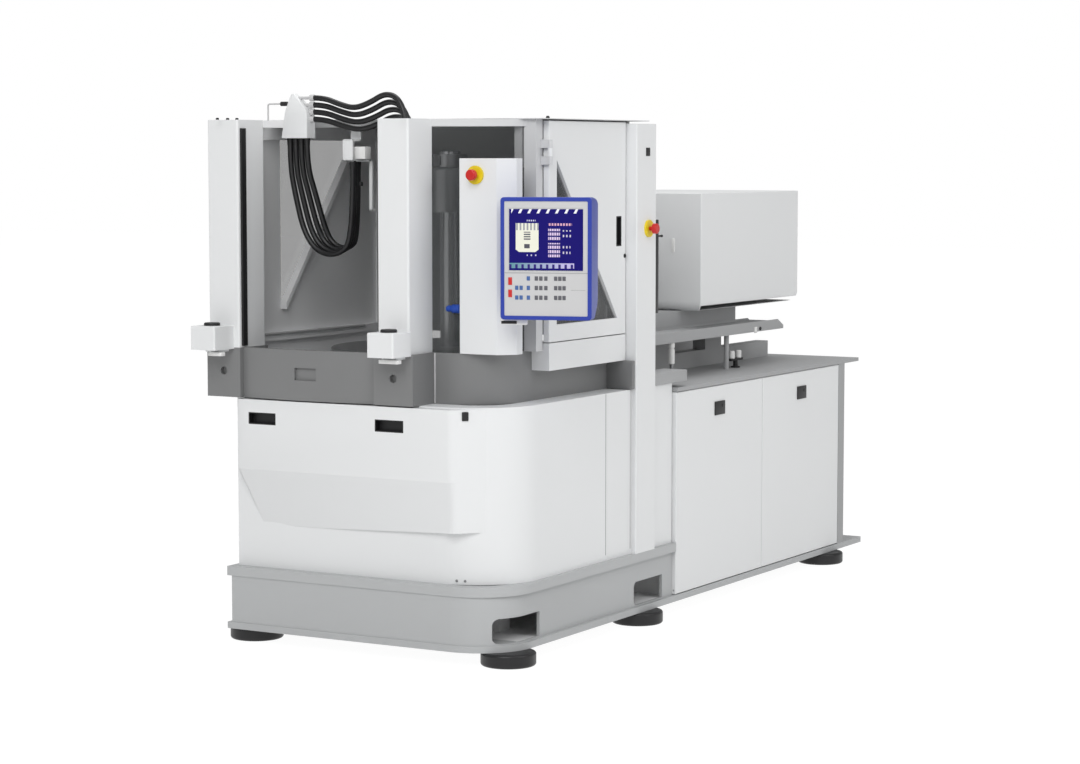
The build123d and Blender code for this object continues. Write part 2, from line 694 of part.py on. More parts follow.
def guard_frame():
    """Welded frame of the guard: posts, top rails and the far side wall with its slanted window."""
    far = COLUMN_FAR[1] - FAR_INSET
    x0 = COLUMN_DEPTH + 2
    z0 = BAND_TOP
    frame = block(x0, WALL_X - SHEET, far - FRAME_THICK, far, z0, GUARD_TOP)
    low = (WINDOW_START, WINDOW_LOW + 50)
    high = (WINDOW_START, GUARD_TOP - TOP_BEAM)
    tip = (WINDOW_END, GUARD_TOP - TOP_BEAM)
    window = Plane.XZ * polygon([low, high, tip])
    frame -= Pos(0, far + 1, 0) * extrude(window, FRAME_THICK + 2)
    # The sheet is thin inside its frame.
    inner = block(x0 + 40, WALL_X - 60, far - FRAME_THICK - 1, far - SHEET, z0 + 30, GUARD_TOP - TOP_BEAM)
    brace = Plane.XZ * polygon([low, tip, (tip[0] + BRACE, tip[1]), (low[0], low[1] - BRACE)])
    frame -= inner - Pos(0, far + 1, 0) * extrude(brace, FRAME_THICK + 2)
    # Posts at the near side and the rails that join them.
    frame += block(DOOR_START - DOOR_GAP - POST_WIDTH, DOOR_START - DOOR_GAP, POST_NEAR, POST_FAR, z0, GUARD_TOP)
    frame += block(WALL_X - SHEET - 20, WALL_X - SHEET, BAND_NEAR, BAND_NEAR + 50, z0, GUARD_TOP)
    rail_z = GUARD_TOP - RAIL_DROP
    frame += block(DOOR_START - DOOR_GAP, WALL_X - SHEET, POST_FAR - 40, POST_FAR, rail_z, GUARD_TOP)
    frame += block(DOOR_START - 60, DOOR_START - 20, POST_FAR, far - FRAME_THICK, rail_z, GUARD_TOP)
    corner = [
        (COLUMN_DEPTH, COLUMN_NEAR[0]),
        (DOOR_START - DOOR_GAP - POST_WIDTH, POST_FAR - 50),
        (DOOR_START - DOOR_GAP - POST_WIDTH, POST_FAR - 15),
        (COLUMN_DEPTH, COLUMN_NEAR[0] + 35),
    ]
    frame += prism(polygon(corner), rail_z, GUARD_TOP)
    frame += block(COLUMN_DEPTH, COLUMN_DEPTH + 30, COLUMN_FAR[0] + 20, far, z0, GUARD_TOP)
    # Top rail that carries the hose hood.
    frame += hood_rail()
    # Door hinges: two knuckles and a pin at each height.
    post_x = DOOR_START - DOOR_GAP
    for z in KNUCKLE_ZS:
        for z0 in (z, z + 2 * KNUCKLE_LENGTH):
            frame += rod(KNUCKLE_X, KNUCKLE_Y, z0, z0 + KNUCKLE_LENGTH, KNUCKLE_RADIUS)
            frame += block(post_x - 14, post_x - 1, KNUCKLE_Y, POST_NEAR, z0, z0 + KNUCKLE_LENGTH)
        frame += rod(KNUCKLE_X, KNUCKLE_Y, z, z + 3 * KNUCKLE_LENGTH, KNUCKLE_PIN)
    return frame


def hood_rail():
    """Short rail from the far wall into the hose hood."""
    far = COLUMN_FAR[1] - FAR_INSET
    return block(HOOD_X - 15, HOOD_X + 15, HOOD_Y + 35, far - FRAME_THICK, GUARD_TOP - RAIL_DROP, GUARD_TOP)


def far_window():
    """Clear sheet behind the far wall's slanted opening."""
    far = COLUMN_FAR[1] - FAR_INSET
    low = (WINDOW_START - 12, WINDOW_LOW + 20)
    high = (WINDOW_START - 12, GUARD_TOP - TOP_BEAM + 12)
    tip = (WINDOW_END + 24, GUARD_TOP - TOP_BEAM + 12)
    sheet = Plane.XZ * polygon([low, high, tip])
    return Pos(0, far + GLASS, 0) * extrude(sheet, GLASS)


def corner_window():
    """Clear sheet across the cut corner between the near column and the door post."""
    x0 = COLUMN_DEPTH
    y0 = COLUMN_NEAR[0]
    x1 = DOOR_START - DOOR_GAP - POST_WIDTH
    y1 = POST_FAR - 40
    run = math.hypot(x1 - x0, y1 - y0)
    dy = run / (x1 - x0) * GLASS
    plan = polygon([(x0, y0), (x1, y1), (x1, y1 + dy), (x0, y0 + dy)])
    return prism(plan, BAND_TOP, GUARD_TOP - RAIL_DROP)


def rear_wall():
    """Partition between the clamp and the injection unit, with the nozzle's opening."""
    far = COLUMN_FAR[1] - FAR_INSET
    wall = block(WALL_X - SHEET, WALL_X, BAND_NEAR, far, BAND_TOP, GUARD_TOP)
    half = NOZZLE_OPENING / 2
    return wall - block(WALL_X - 9, WALL_X + 9, UNIT_Y - half, UNIT_Y + half, AXIS_Z - half, AXIS_Z + half)


def roof_plate():
    """Flat roof over the clamp, open in front where the hoses come down."""
    far = COLUMN_FAR[1] - FAR_INSET
    return block(DOOR_START - 70, WALL_X, DOOR_Y - 14, far, GUARD_TOP, GUARD_TOP + SHEET)


def tall_column():
    """White service column beside the door, standing on the plinth's rim."""
    column = block(TALL_START, TALL_END, 0, TALL_DEPTH, PLINTH_TOP, TALL_TOP)
    column = fillet(column.edges().filter_by(Axis.Z).group_by(Axis.Y)[0], 5)
    column -= block(TALL_START + SHEET, TALL_END - SHEET, SHEET, TALL_DEPTH + 1, PLINTH_TOP + 3, TALL_TOP - 3)
    return column


def door_sheet(z0, z1):
    """The door's slanted window in elevation."""
    points = [(WINDOW_X, z0), (WINDOW_X, z1), (WINDOW_X + WINDOW_RUN, z0)]
    return Plane.XZ * polygon(points)


def operator_door():
    """Folded steel door with its slanted window and recessed grip."""
    door = block(DOOR_START, DOOR_END, DOOR_Y, DOOR_Y + DOOR_THICK, DOOR_BOTTOM, GUARD_TOP - 6)
    door = fillet(door.edges().filter_by(Axis.Z).group_by(Axis.Y)[0], EDGE_ROUND)
    window = door_sheet(WINDOW_LOW, WINDOW_HIGH)
    door -= Pos(0, DOOR_Y + DOOR_THICK + 1, 0) * extrude(window, DOOR_THICK + 2)
    x1 = DOOR_END - GRIP_INSET
    door -= block(x1 - GRIP_WIDTH, x1, DOOR_Y - 1, DOOR_Y + DOOR_THICK + 1, GRIP_LOW, GRIP_HIGH)
    for z in KNUCKLE_ZS:
        z0, z1 = z + KNUCKLE_LENGTH + LUG_GAP, z + 2 * KNUCKLE_LENGTH - LUG_GAP
        leaf = block(KNUCKLE_X, DOOR_START + 40, DOOR_Y - 4, DOOR_Y, z0, z1)
        leaf += rod(KNUCKLE_X, KNUCKLE_Y, z0, z1, KNUCKLE_RADIUS)
        door += leaf - rod(KNUCKLE_X, KNUCKLE_Y, z0 - 1, z1 + 1, KNUCKLE_PIN + HINGE_PLAY)
    return door


def door_window():
    """Tinted sheet that fills the door's window."""
    window = door_sheet(WINDOW_LOW, WINDOW_HIGH)
    return Pos(0, DOOR_Y + 12 + GLASS, 0) * extrude(window, GLASS)


def door_grip():
    """Black recessed grip of the door."""
    x1 = DOOR_END - GRIP_INSET
    y1 = DOOR_Y + GRIP_DEPTH
    grip = block(x1 - GRIP_WIDTH, x1, DOOR_Y, y1, GRIP_LOW, GRIP_HIGH)
    return grip - block(x1 - GRIP_WIDTH + 5, x1 - 5, DOOR_Y - 1, y1 - 4, GRIP_LOW + 5, GRIP_HIGH - 5)


def door_sill():
    """Fixed panel under the door, standing off the band's side."""
    return block(DOOR_START, DOOR_END, DOOR_Y, BAND_NEAR, PANEL_BOTTOM, DOOR_BOTTOM - DOOR_GAP)


def control_column():
    """White column on the rounded corner, chamfered towards the operator, hollow behind."""
    x0, x1 = CONTROL_FRONT, CONTROL_BACK
    y0, y1 = CONTROL_NEAR, CONTROL_FAR
    cut = CONTROL_CHAMFER
    plan = polygon([(x0, y1), (x0, y0 + cut), (x0 + cut, y0), (x1, y0), (x1, y1)])
    column = prism(plan, BAND_TOP, CONTROL_TOP)
    column = fillet(column.edges().filter_by(Axis.Z), EDGE_ROUND)
    hollow = polygon([(x0 + 4, y1 - 4), (x0 + 4, y0 + cut + 2), (x0 + cut + 2, y0 + 4), (x1 - 4, y0 + 4), (x1 - 4, y1 - 4)])
    return column - prism(hollow, BAND_TOP + 4, CONTROL_TOP - 4)


def stop_plates():
    """Yellow plates of the two emergency stops."""
    front = rod_x(CONTROL_FRONT - STOP_PLATE_THICK, CONTROL_FRONT, STOP_Y, STOP_Z, STOP_PLATE_RADIUS)
    front -= rod_x(0, CONTROL_FRONT, STOP_Y, STOP_Z, STOP_STEM_RADIUS + STOP_PLAY)
    side = rod_y(STOP_REAR_X, -STOP_PLATE_THICK, 0, STOP_REAR_Z, STOP_PLATE_RADIUS)
    side -= rod_y(STOP_REAR_X, -50, 0, STOP_REAR_Z, STOP_STEM_RADIUS + STOP_PLAY)
    return Compound(children=[front, side])


def stop_button():
    """Red mushroom on its stem, standing on the ground plane and pointing up."""
    head = rod(0, 0, STOP_REACH - 18, STOP_REACH, STOP_RADIUS)
    head = fillet(head.edges().group_by(Axis.Z)[-1], 6)
    return head + rod(0, 0, STOP_TRAVEL + 1 - STOP_PLATE_THICK, STOP_REACH - 17, STOP_STEM_RADIUS)


def front_stop_button():
    return Pos(CONTROL_FRONT - STOP_PLATE_THICK, STOP_Y, STOP_Z) * Rot(0, -90, 0) * stop_button()


def side_stop_button():
    return Pos(STOP_REAR_X, -STOP_PLATE_THICK, STOP_REAR_Z) * Rot(90, 0, 0) * stop_button()


def panel_place():
    """The panel's own frame: x backwards, -y along its width, z up from its foot."""
    return Pos(PANEL_LEFT_X, PANEL_LEFT_Y, PANEL_FOOT_Z) * Rot(0, 0, PANEL_ANGLE)


def panel_pivot():
    """Where the upright swivel pin of the panel stands in plan."""
    place = panel_place() * Pos(PANEL_DEPTH + HINGE_BEHIND, -HINGE_OFFSET, 0)
    return place.position.X, place.position.Y


def panel_arm():
    """Bracket on the control column with the panel's swivel pin."""
    x, y = panel_pivot()
    z0, z1 = ARM_Z, ARM_Z + ARM_HEIGHT
    arm = block(CONTROL_BACK - ARM_WIDTH, CONTROL_BACK, y, CONTROL_NEAR, z0, z1)
    arm += rod(x, y, z0, z1, HINGE_RADIUS + 10)
    return arm + rod(x, y, z0 - LUG_HEIGHT, z1 + LUG_HEIGHT, HINGE_RADIUS)


def panel_housing():
    """Moulded blue housing: a square-cut front that tapers to a smaller back, with two swivel lugs."""
    mid_y = -PANEL_WIDTH / 2
    front = Plane.YZ * RectangleRounded(PANEL_WIDTH, PANEL_HEIGHT, PANEL_ROUND)
    front = Pos(0, mid_y, PANEL_HEIGHT / 2) * front
    rear_height = PANEL_HEIGHT - PANEL_TAPER - PANEL_SLOPE
    rear = Plane.YZ * RectangleRounded(PANEL_WIDTH - 2 * PANEL_TAPER, rear_height, PANEL_ROUND)
    rear = Pos(PANEL_DEPTH, mid_y, PANEL_SLOPE + rear_height / 2) * rear
    shoulder = Pos(PANEL_SHOULDER, 0, 0) * front
    housing = extrude(front, PANEL_SHOULDER) + loft([shoulder.face(), rear.face()], ruled=True)
    opening = block(-1, BEZEL_DEPTH, -PANEL_WIDTH + BEZEL, -BEZEL, BEZEL, PANEL_HEIGHT - BEZEL)
    housing -= opening
    pin_x = PANEL_DEPTH + HINGE_BEHIND
    for z in (ARM_Z - PANEL_FOOT_Z - LUG_HEIGHT, ARM_Z - PANEL_FOOT_Z + ARM_HEIGHT + LUG_GAP):
        lug = block(PANEL_DEPTH - 6, pin_x, -HINGE_OFFSET - 24, -HINGE_OFFSET + 24, z, z + LUG_HEIGHT - LUG_GAP)
        lug += rod(pin_x, -HINGE_OFFSET, z, z + LUG_HEIGHT - LUG_GAP, 24)
        housing += lug - rod(pin_x, -HINGE_OFFSET, z - 1, z + LUG_HEIGHT + 1, HINGE_RADIUS + HINGE_PLAY)
    return panel_place() * housing


def panel_face():
    """Light front plate with the screen's recess, set in the housing."""
    y0 = -PANEL_WIDTH + BEZEL
    plate = block(2, BEZEL_DEPTH, y0, -BEZEL, BEZEL, PANEL_HEIGHT - BEZEL)
    plate -= block(1, 4, y0 + 16, -BEZEL - 14, SCREEN_LOW, SCREEN_HIGH)
    return panel_place() * plate


def cabinet_housing():
    """Frame and outer sheets of the rear cabinet, open on the operator side for its covers."""
    x0, x1 = PLINTH_LENGTH + 2, CABINET_END
    y1 = PLINTH_WIDTH
    flange_z = FOOT_HEIGHT + FLANGE_THICK
    housing = block(x0, x1 + REAR_POST, y1 - SHEET, y1, flange_z, CABINET_TOP)
    housing += block(x1 + REAR_POST - SHEET, x1 + REAR_POST, 2, y1, flange_z, CABINET_TOP)
    housing += block(x1, x1 + REAR_POST, 2, REAR_POST, flange_z, CABINET_TOP)
    back = CABINET_DOOR_THICK + 6
    for x in (x0, DOOR_SPLIT - 20, x1 - 40):
        housing += block(x, x + 40, back, back + 30, flange_z, CABINET_TOP)
        housing += block(x, x + 40, y1 - SHEET - 30, y1 - SHEET, flange_z, CABINET_TOP)
        housing += block(x, x + 40, back + 30, y1 - SHEET - 30, CABINET_TOP - 40, CABINET_TOP)
    for z in (flange_z, CABINET_TOP - 40):
        housing += block(x0, x1, back, back + 30, z, z + 40)
        housing += block(x0, x1, y1 - SHEET - 30, y1 - SHEET, z, z + 40)
    # Pins that the side covers tilt on.
    pin_z = CABINET_BOTTOM + COVER_PIVOT
    for left, right in ((PLINTH_LENGTH, DOOR_SPLIT), (DOOR_SPLIT, CABINET_END)):
        for end, inward in ((left + 3, 1), (right - 3, -1)):
            tip = end + inward * 20
            wall = end + inward * 6
            housing += rod_x(min(end, tip), max(end, tip), 12, pin_z, COVER_PIN)
            housing += rod_x(min(wall, tip), max(wall, tip), 12, pin_z, COVER_PIN + 2)
            housing += block(min(wall, tip), max(wall, tip), 12, back, pin_z - 3, pin_z + 3)
    return housing


def cabinet_cover(x0, x1, latch_x):
    """Side cover that hooks over its lower edge, with a hole for its latch."""
    half = CABINET_GAP / 2
    z0 = CABINET_BOTTOM
    cover = block(x0 + half, x1 - half, 2, 2 + CABINET_DOOR_THICK, z0, CABINET_TOP - 3)
    cover = fillet(cover.edges().group_by(Axis.Y)[0], EDGE_ROUND - 1)
    cover -= block(x0 + 8, x1 - 8, 2 + SHEET, CABINET_DOOR_THICK + 3, z0 + 6, CABINET_TOP - 9)
    cover -= rod_x(x0 + 1, x0 + 9, 12, z0 + COVER_PIVOT, COVER_PIN + HINGE_PLAY)
    cover -= rod_x(x1 - 9, x1 - 1, 12, z0 + COVER_PIVOT, COVER_PIN + HINGE_PLAY)
    half = LATCH_SIZE / 2
    cover += block(latch_x - half - 4, latch_x + half + 4, 4, 22, LATCH_Z - half - 4, LATCH_Z + half + 4)
    return cover - rod_y(latch_x, 0, 30, LATCH_Z, LATCH_RADIUS + LATCH_PLAY)


def cover_latch(latch_x):
    """Black quarter-turn latch: a square flap with a finger slot on a round barrel."""
    half = LATCH_SIZE / 2
    latch = rod_y(latch_x, 1, 22, LATCH_Z, LATCH_RADIUS)
    latch += block(latch_x - half, latch_x + half, -3, 1.7, LATCH_Z - half, LATCH_Z + half)
    latch -= block(latch_x - half + 8, latch_x + half - 8, -4, 0, LATCH_Z - 8, LATCH_Z + 8)
    return latch


def cabinet_top():
    """Grey table over the rear cabinet, with the two rails of the injection unit."""
    x0 = PLINTH_LENGTH + 2
    top = block(x0, TOP_LENGTH, -2, PLINTH_WIDTH + 2, CABINET_TOP, CABINET_TOP + TOP_THICK)
    for y in (UNIT_Y - RAIL_SPACING / 2, UNIT_Y + RAIL_SPACING / 2):
        top += block(RAIL_START, RAIL_END, y - RAIL_WIDTH / 2, y + RAIL_WIDTH / 2, CABINET_TOP, rail_top())
    return top


def rail_top():
    return CABINET_TOP + TOP_THICK + RAIL_HEIGHT


def injection_carriage():
    """Carriage that runs on the rails, with its runner shoes and the drive housing above."""
    z0 = rail_top() + SHOE_LIFT
    x0, x1 = CARRIAGE_START, CARRIAGE_END
    base = block(x0, x1, UNIT_Y - CARRIAGE_HALF, UNIT_Y + CARRIAGE_HALF, CARRIAGE_BOTTOM, COVER_BOTTOM)
    for x in (x0 + SHOE_INSETS[0], x1 - SHOE_INSETS[1]):
        for y in (UNIT_Y - RAIL_SPACING / 2, UNIT_Y + RAIL_SPACING / 2):
            base += block(x, x + SHOE_LENGTH, y - RAIL_WIDTH / 2, y + RAIL_WIDTH / 2, z0, CARRIAGE_BOTTOM)
    base += block(HOUSING_START, HOUSING_END, UNIT_Y - HOUSING_HALF, UNIT_Y + HOUSING_HALF, COVER_BOTTOM, HOUSING_TOP)
    cave_y = THRUST_HALF + 0.3
    base -= block(CAVE_START, CAVE_END, UNIT_Y - cave_y, UNIT_Y + cave_y, AXIS_Z - cave_y, AXIS_Z + cave_y)
    return base - rod_x(HOUSING_START - 1, CAVE_START + 1, UNIT_Y, AXIS_Z, BARREL_BORE)


def injection_barrel():
    """Plasticising cylinder with its heater bands, feed throat and nozzle."""
    tip = NOZZLE_TIP_X
    back = HOUSING_START
    core = BARREL_RADIUS - 12
    cone_x = tip + NOZZLE_LENGTH
    head_x = cone_x + NOZZLE_CONE
    barrel = rod_x(head_x, back, UNIT_Y, AXIS_Z, core)
    cone = Pos((cone_x + head_x) / 2, UNIT_Y, AXIS_Z) * Rot(0, 90, 0) * Cone(NOZZLE_RADIUS, core, NOZZLE_CONE)
    barrel += cone + rod_x(tip + 10, cone_x, UNIT_Y, AXIS_Z, NOZZLE_RADIUS)
    barrel += Pos(tip + 10, UNIT_Y, AXIS_Z) * Sphere(NOZZLE_RADIUS)
    for count in range(BAND_COUNT):
        x = head_x + 40 + count * BAND_PITCH
        barrel += rod_x(x, x + BAND_PITCH - 18, UNIT_Y, AXIS_Z, BARREL_RADIUS)
    barrel += block(back - 90, back - 20, UNIT_Y - 40, UNIT_Y + 40, AXIS_Z, AXIS_Z + 90)
    barrel -= rod_x(head_x + 10, back + 1, UNIT_Y, AXIS_Z, BARREL_BORE)
    barrel -= rod_x(tip - 20, head_x + 11, UNIT_Y, AXIS_Z, NOZZLE_BORE)
    return barrel - rod(back - 55, UNIT_Y, AXIS_Z, AXIS_Z + 91, 24)


def plasticising_screw():
    """Screw with raised flights at the front and a plain shank behind."""
    radius = BARREL_BORE - SCREW_CLEARANCE
    root = radius - 6
    x0 = NOZZLE_TIP_X + NOZZLE_LENGTH + NOZZLE_CONE + 25
    x1 = CAVE_START + THRUST_LENGTH
    screw = rod_x(x0 + 20, HOUSING_START - 120, UNIT_Y, AXIS_Z, root)
    screw += Pos(x0 + 10, UNIT_Y, AXIS_Z) * Rot(0, 90, 0) * Cone(3, root, 20)
    screw += rod_x(HOUSING_START - 120, x1 - 20, UNIT_Y, AXIS_Z, radius)
    for count in range(FLIGHTS):
        x = x0 + 30 + count * FLIGHT_PITCH
        screw += rod_x(x, x + 6, UNIT_Y, AXIS_Z, radius)
    return screw


def thrust_block():
    """Block in the drive housing that carries the screw's shank and moves it along."""
    x0 = CAVE_START + THRUST_START
    size = THRUST_HALF
    body = block(x0, x0 + THRUST_LENGTH, UNIT_Y - size, UNIT_Y + size, AXIS_Z - size, AXIS_Z + size)
    body = chamfer(body.edges().filter_by(Axis.X), 10)
    return body - rod_x(x0 - 1, CAVE_START + THRUST_LENGTH - 18, UNIT_Y, AXIS_Z, BARREL_BORE)


def injection_cover():
    """White folded cover over the injection unit, rounded along its lower front edge."""
    x0, x1 = COVER_FRONT, COVER_FRONT + COVER_LENGTH
    y0, y1 = UNIT_Y - COVER_WIDTH / 2, UNIT_Y + COVER_WIDTH / 2
    cover = block(x0, x1, y0, y1, COVER_BOTTOM, COVER_TOP)
    cover = fillet(cover.edges().filter_by(Axis.Z) + cover.edges().group_by(Axis.Z)[-1], EDGE_ROUND)
    foot = cover.edges().filter_by(Axis.Y).group_by(Axis.Z)[0].group_by(Axis.X)[0]
    cover = fillet(foot, COVER_ROUND)
    w = COVER_WALL
    inside = block(x0 + w, x1 - w, y0 + w, y1 - w, COVER_BOTTOM + w, COVER_TOP - w)
    inner_foot = inside.edges().filter_by(Axis.Y).group_by(Axis.Z)[0].group_by(Axis.X)[0]
    cover -= fillet(inner_foot, COVER_ROUND - w)
    slot_x = (HOUSING_START - HOUSING_GAP, HOUSING_END + HOUSING_GAP)
    slot_half = HOUSING_HALF + HOUSING_GAP
    cover -= block(*slot_x, UNIT_Y - slot_half, UNIT_Y + slot_half, COVER_BOTTOM - 1, COVER_BOTTOM + 3 * w)
    return cover - rod_x(x0 - 1, x0 + w + 30, UNIT_Y, AXIS_Z, BARREL_RADIUS + 14)


def drip_tray():
    """Long channel beside the injection unit, on two posts from the table."""
    x0 = WALL_X
    x1 = x0 + TRAY_LENGTH
    z0 = TRAY_BOTTOM
    tray = block(x0, x1, TRAY_Y, TRAY_Y + TRAY_WIDTH, z0, z0 + TRAY_HEIGHT)
    tray -= block(x0 + 3, x1 - 3, TRAY_Y + 3, TRAY_Y + TRAY_WIDTH - 3, z0 + TRAY_HEIGHT - 8, z0 + TRAY_HEIGHT + 1)
    z1 = z0 + TRAY_HEIGHT
    cut = Plane.XZ * polygon([(x1 - TRAY_CUT, z1 + 1), (x1 + 1, z1 + 1), (x1 + 1, z1 - TRAY_CUT / 2)])
    tray -= Pos(0, TRAY_Y + TRAY_WIDTH + 1, 0) * extrude(cut, TRAY_WIDTH + 2)
    for x in TRAY_POSTS:
        tray += rod(x, TRAY_Y + 30, CABINET_TOP + TOP_THICK, z0, 11)
    return tray


def hose_hood():
    """Tapered distributor that turns the hoses downwards, hung from the guard's top rail."""
    y0 = HOOD_Y - HOOD_WIDTH / 2
    y1 = HOOD_Y + HOOD_WIDTH / 2
    side = Plane.YZ * polygon([(y0, HOOD_BOTTOM), (y1, HOOD_BOTTOM), (y1 - HOOD_SLANT, HOOD_TOP), (y0, HOOD_TOP)])
    return Pos(HOOD_X - HOOD_DEPTH / 2, 0, 0) * extrude(side, HOOD_DEPTH) - hood_rail()


def hose_bracket():
    """Bent steel bracket that holds the loop's other end under the cross rail."""
    x0, x1 = BRACKET_X - 52, BRACKET_X + 52
    y = BRACKET_Y
    z = BRACKET_Z
    bracket = block(x0, x1, y - 22, y + 22, z, z + 8)
    bracket += block(x0, x0 + 8, y - 22, y + 22, z, z + 84)
    bracket += block(x0, CROSS_RAIL_X, y - 22, y + 22, z + 76, z + 84)
    bracket += block(CROSS_RAIL_X - 8, CROSS_RAIL_X, y - 22, y + 22, z + 76, GUARD_TOP)
    bracket += block(x1 - 12, x1, y - 46, y - 34, z - 185, z + 8)
    bracket += block(x1 - 12, x1, y - 46, y - 22, z, z + 8)
    return bracket + block(x1 - 12, x1 + 20, y - 46, y - 34, z - 185, z - 177)


def hose(points):
    """A hose along straight runs joined by arcs, each as large as its runs allow."""
    path = [Vector(*point) for point in points]
    radii = []
    for before, here, after in zip(path, path[1:], path[2:]):
        turn = math.radians((here - before).get_angle(after - here))
        shorter = min((here - before).length, (after - here).length)
        radii.append(0.45 * shorter / math.tan(turn / 2))
    print("radii", [round(radius) for radius in radii])
    route = FilletPolyline(*path, radius=radii)
    start = Plane(origin=path[0], z_dir=(path[1] - path[0]).normalized())
    tube = sweep(start * Circle(HOSE_RADIUS), path=route)
    print("tube volume", round(tube.volume), "section x length", round(route.length * math.pi * HOSE_RADIUS**2))
    return tube


def loop_points(index):
    """The route of one of the four hanging loops, from the hood to the bracket."""
    start_y = HOOD_Y + (1.5 - index) * HOSE_PITCH
    end_x = BRACKET_X + (index - 1.5) * LOOP_PITCH_X
    end_y = BRACKET_Y + (index - 1.5) * LOOP_PITCH_Y
    width = start_y - end_y
    route = [(across, along, z) for across, along, z in LOOP_LEG]
    for across, along, rise in LOOP_BEND:
        route.append((across, along, LOOP_BOTTOM + index * LOOP_STEP + rise * width))
    route.append((1, 1, BRACKET_Z))
    run_x, run_y = end_x - HOOD_X, end_y - start_y
    return [(HOOD_X + across * run_x, start_y + along * run_y, z) for across, along, z in route]


def over_points(index):
    """The route of one of the four hoses over the top, from the hood's near side to the manifold."""
    start_z = HOOD_TOP - 14 - index * (HOSE_PITCH + 1)
    end_x = MANIFOLD_X + index * 27
    end_y = MANIFOLD_Y
    near_y = HOOD_Y - HOOD_WIDTH / 2
    route = []
    for across, along, height in OVER_SHAPE:
        x = HOOD_X + across * (end_x - HOOD_X)
        y = near_y + along * (end_y - near_y)
        route.append([x, y, start_z + height])
    route[-1][2] = MANIFOLD_TOP
    return route


def hose_manifold():
    """Block behind the near column where the upper hoses end."""
    x1 = MANIFOLD_X + 3 * 27 + 25
    return block(COLUMN_DEPTH, x1, COLUMN_NEAR[1] - 20, MANIFOLD_Y + 22, MANIFOLD_TOP - 60, MANIFOLD_TOP)


def build_nodes():
    """Every piece of the machine by its node's name."""
    near_box, far_box = box_starts()
    nodes = {
        "plinth_frame": plinth_frame(),
        "machine_feet": machine_feet(),
        "base_housing": base_housing(),
        "front_apron": front_apron(),
        "apron_handles": apron_handles(),
        "bed_skirt": bed_skirt(),
        "bed_plate": bed_plate(),
        "tie_bushes": tie_bushes(),
        "rotary_table": rotary_table(),
        "table_drive": table_drive(),
        "clamp_platen": clamp_platen(),
        "tie_bars": tie_bars(),
        "tie_bar_nuts": tie_bar_nuts(),
        "clamp_yoke": clamp_yoke(),
        "clamp_ram": clamp_ram(),
        "clamp_cylinder": clamp_cylinder(),
        "ejector_cylinder": ejector_cylinder(),
        "ejector_rod": ejector_rod(),
        "guard_columns": Compound(children=[guard_column(*COLUMN_NEAR), guard_column(*COLUMN_FAR)]),
        "light_curtains": light_curtains(),
        "two_hand_boxes": Compound(children=[two_hand_box(near_box), two_hand_box(far_box)]),
        "two_hand_button_near": two_hand_button(near_box),
        "two_hand_button_far": two_hand_button(far_box),
        "guard_frame": guard_frame(),
        "guard_windows": Compound(children=[far_window(), corner_window()]),
        "rear_wall": rear_wall(),
        "roof_plate": roof_plate(),
        "tall_column": tall_column(),
        "operator_door": operator_door(),
        "door_window": door_window(),
        "door_grip": door_grip(),
        "door_sill": door_sill(),
        "control_column": control_column(),
        "stop_plates": stop_plates(),
        "stop_button_front": front_stop_button(),
        "stop_button_side": side_stop_button(),
        "panel_arm": panel_arm(),
        "panel_housing": panel_housing(),
        "panel_face": panel_face(),
        "cabinet_housing": cabinet_housing(),
        "cabinet_cover_front": cabinet_cover(PLINTH_LENGTH, DOOR_SPLIT, LATCH_X[0]),
        "cabinet_cover_rear": cabinet_cover(DOOR_SPLIT, CABINET_END, LATCH_X[1]),
        "cover_latch_front": cover_latch(LATCH_X[0]),
        "cover_latch_rear": cover_latch(LATCH_X[1]),
        "cabinet_top": cabinet_top(),
        "injection_carriage": injection_carriage(),
        "injection_barrel": injection_barrel(),
        "plasticising_screw": plasticising_screw(),
        "thrust_block": thrust_block(),
        "injection_cover": injection_cover(),
        "drip_tray": drip_tray(),
        "hose_fittings": Compound(children=[hose_hood(), hose_bracket(), hose_manifold()]),
    }
    return nodes


def build_hoses():
    """The four hanging loops and the four hoses over the top."""
    hoses = {}
    for index in range(4):
        hoses[f"loop_hose_{index + 1}"] = hose(loop_points(index))
    for index in range(4):
        hoses[f"upper_hose_{index + 1}"] = hose(over_points(index))
    return hoses


def machine_middle(nodes):
    """The middle of the machine's box in plan."""
    boxes = [shape.bounding_box() for shape in nodes.values()]
    middle_x = (min(box.min.X for box in boxes) + max(box.max.X for box in boxes)) / 2
    middle_y = (min(box.min.Y for box in boxes) + max(box.max.Y for box in boxes)) / 2
    return middle_x, middle_y


def main():
    """Write every node, moved so that the origin is under the machine's middle."""
    os.makedirs("parts", exist_ok=True)
    nodes = build_nodes()
    middle_x, middle_y = machine_middle(nodes)
    nodes.update(build_hoses())
    for name, shape in nodes.items():
        export_step(Pos(-middle_x, -middle_y, 0) * shape, f"parts/{name}.step")
    print("origin at", round(middle_x, 3), round(middle_y, 3))


if __name__ == "__main__":
    main()
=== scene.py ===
import json
import math

import bpy
from mathutils import Matrix, Vector


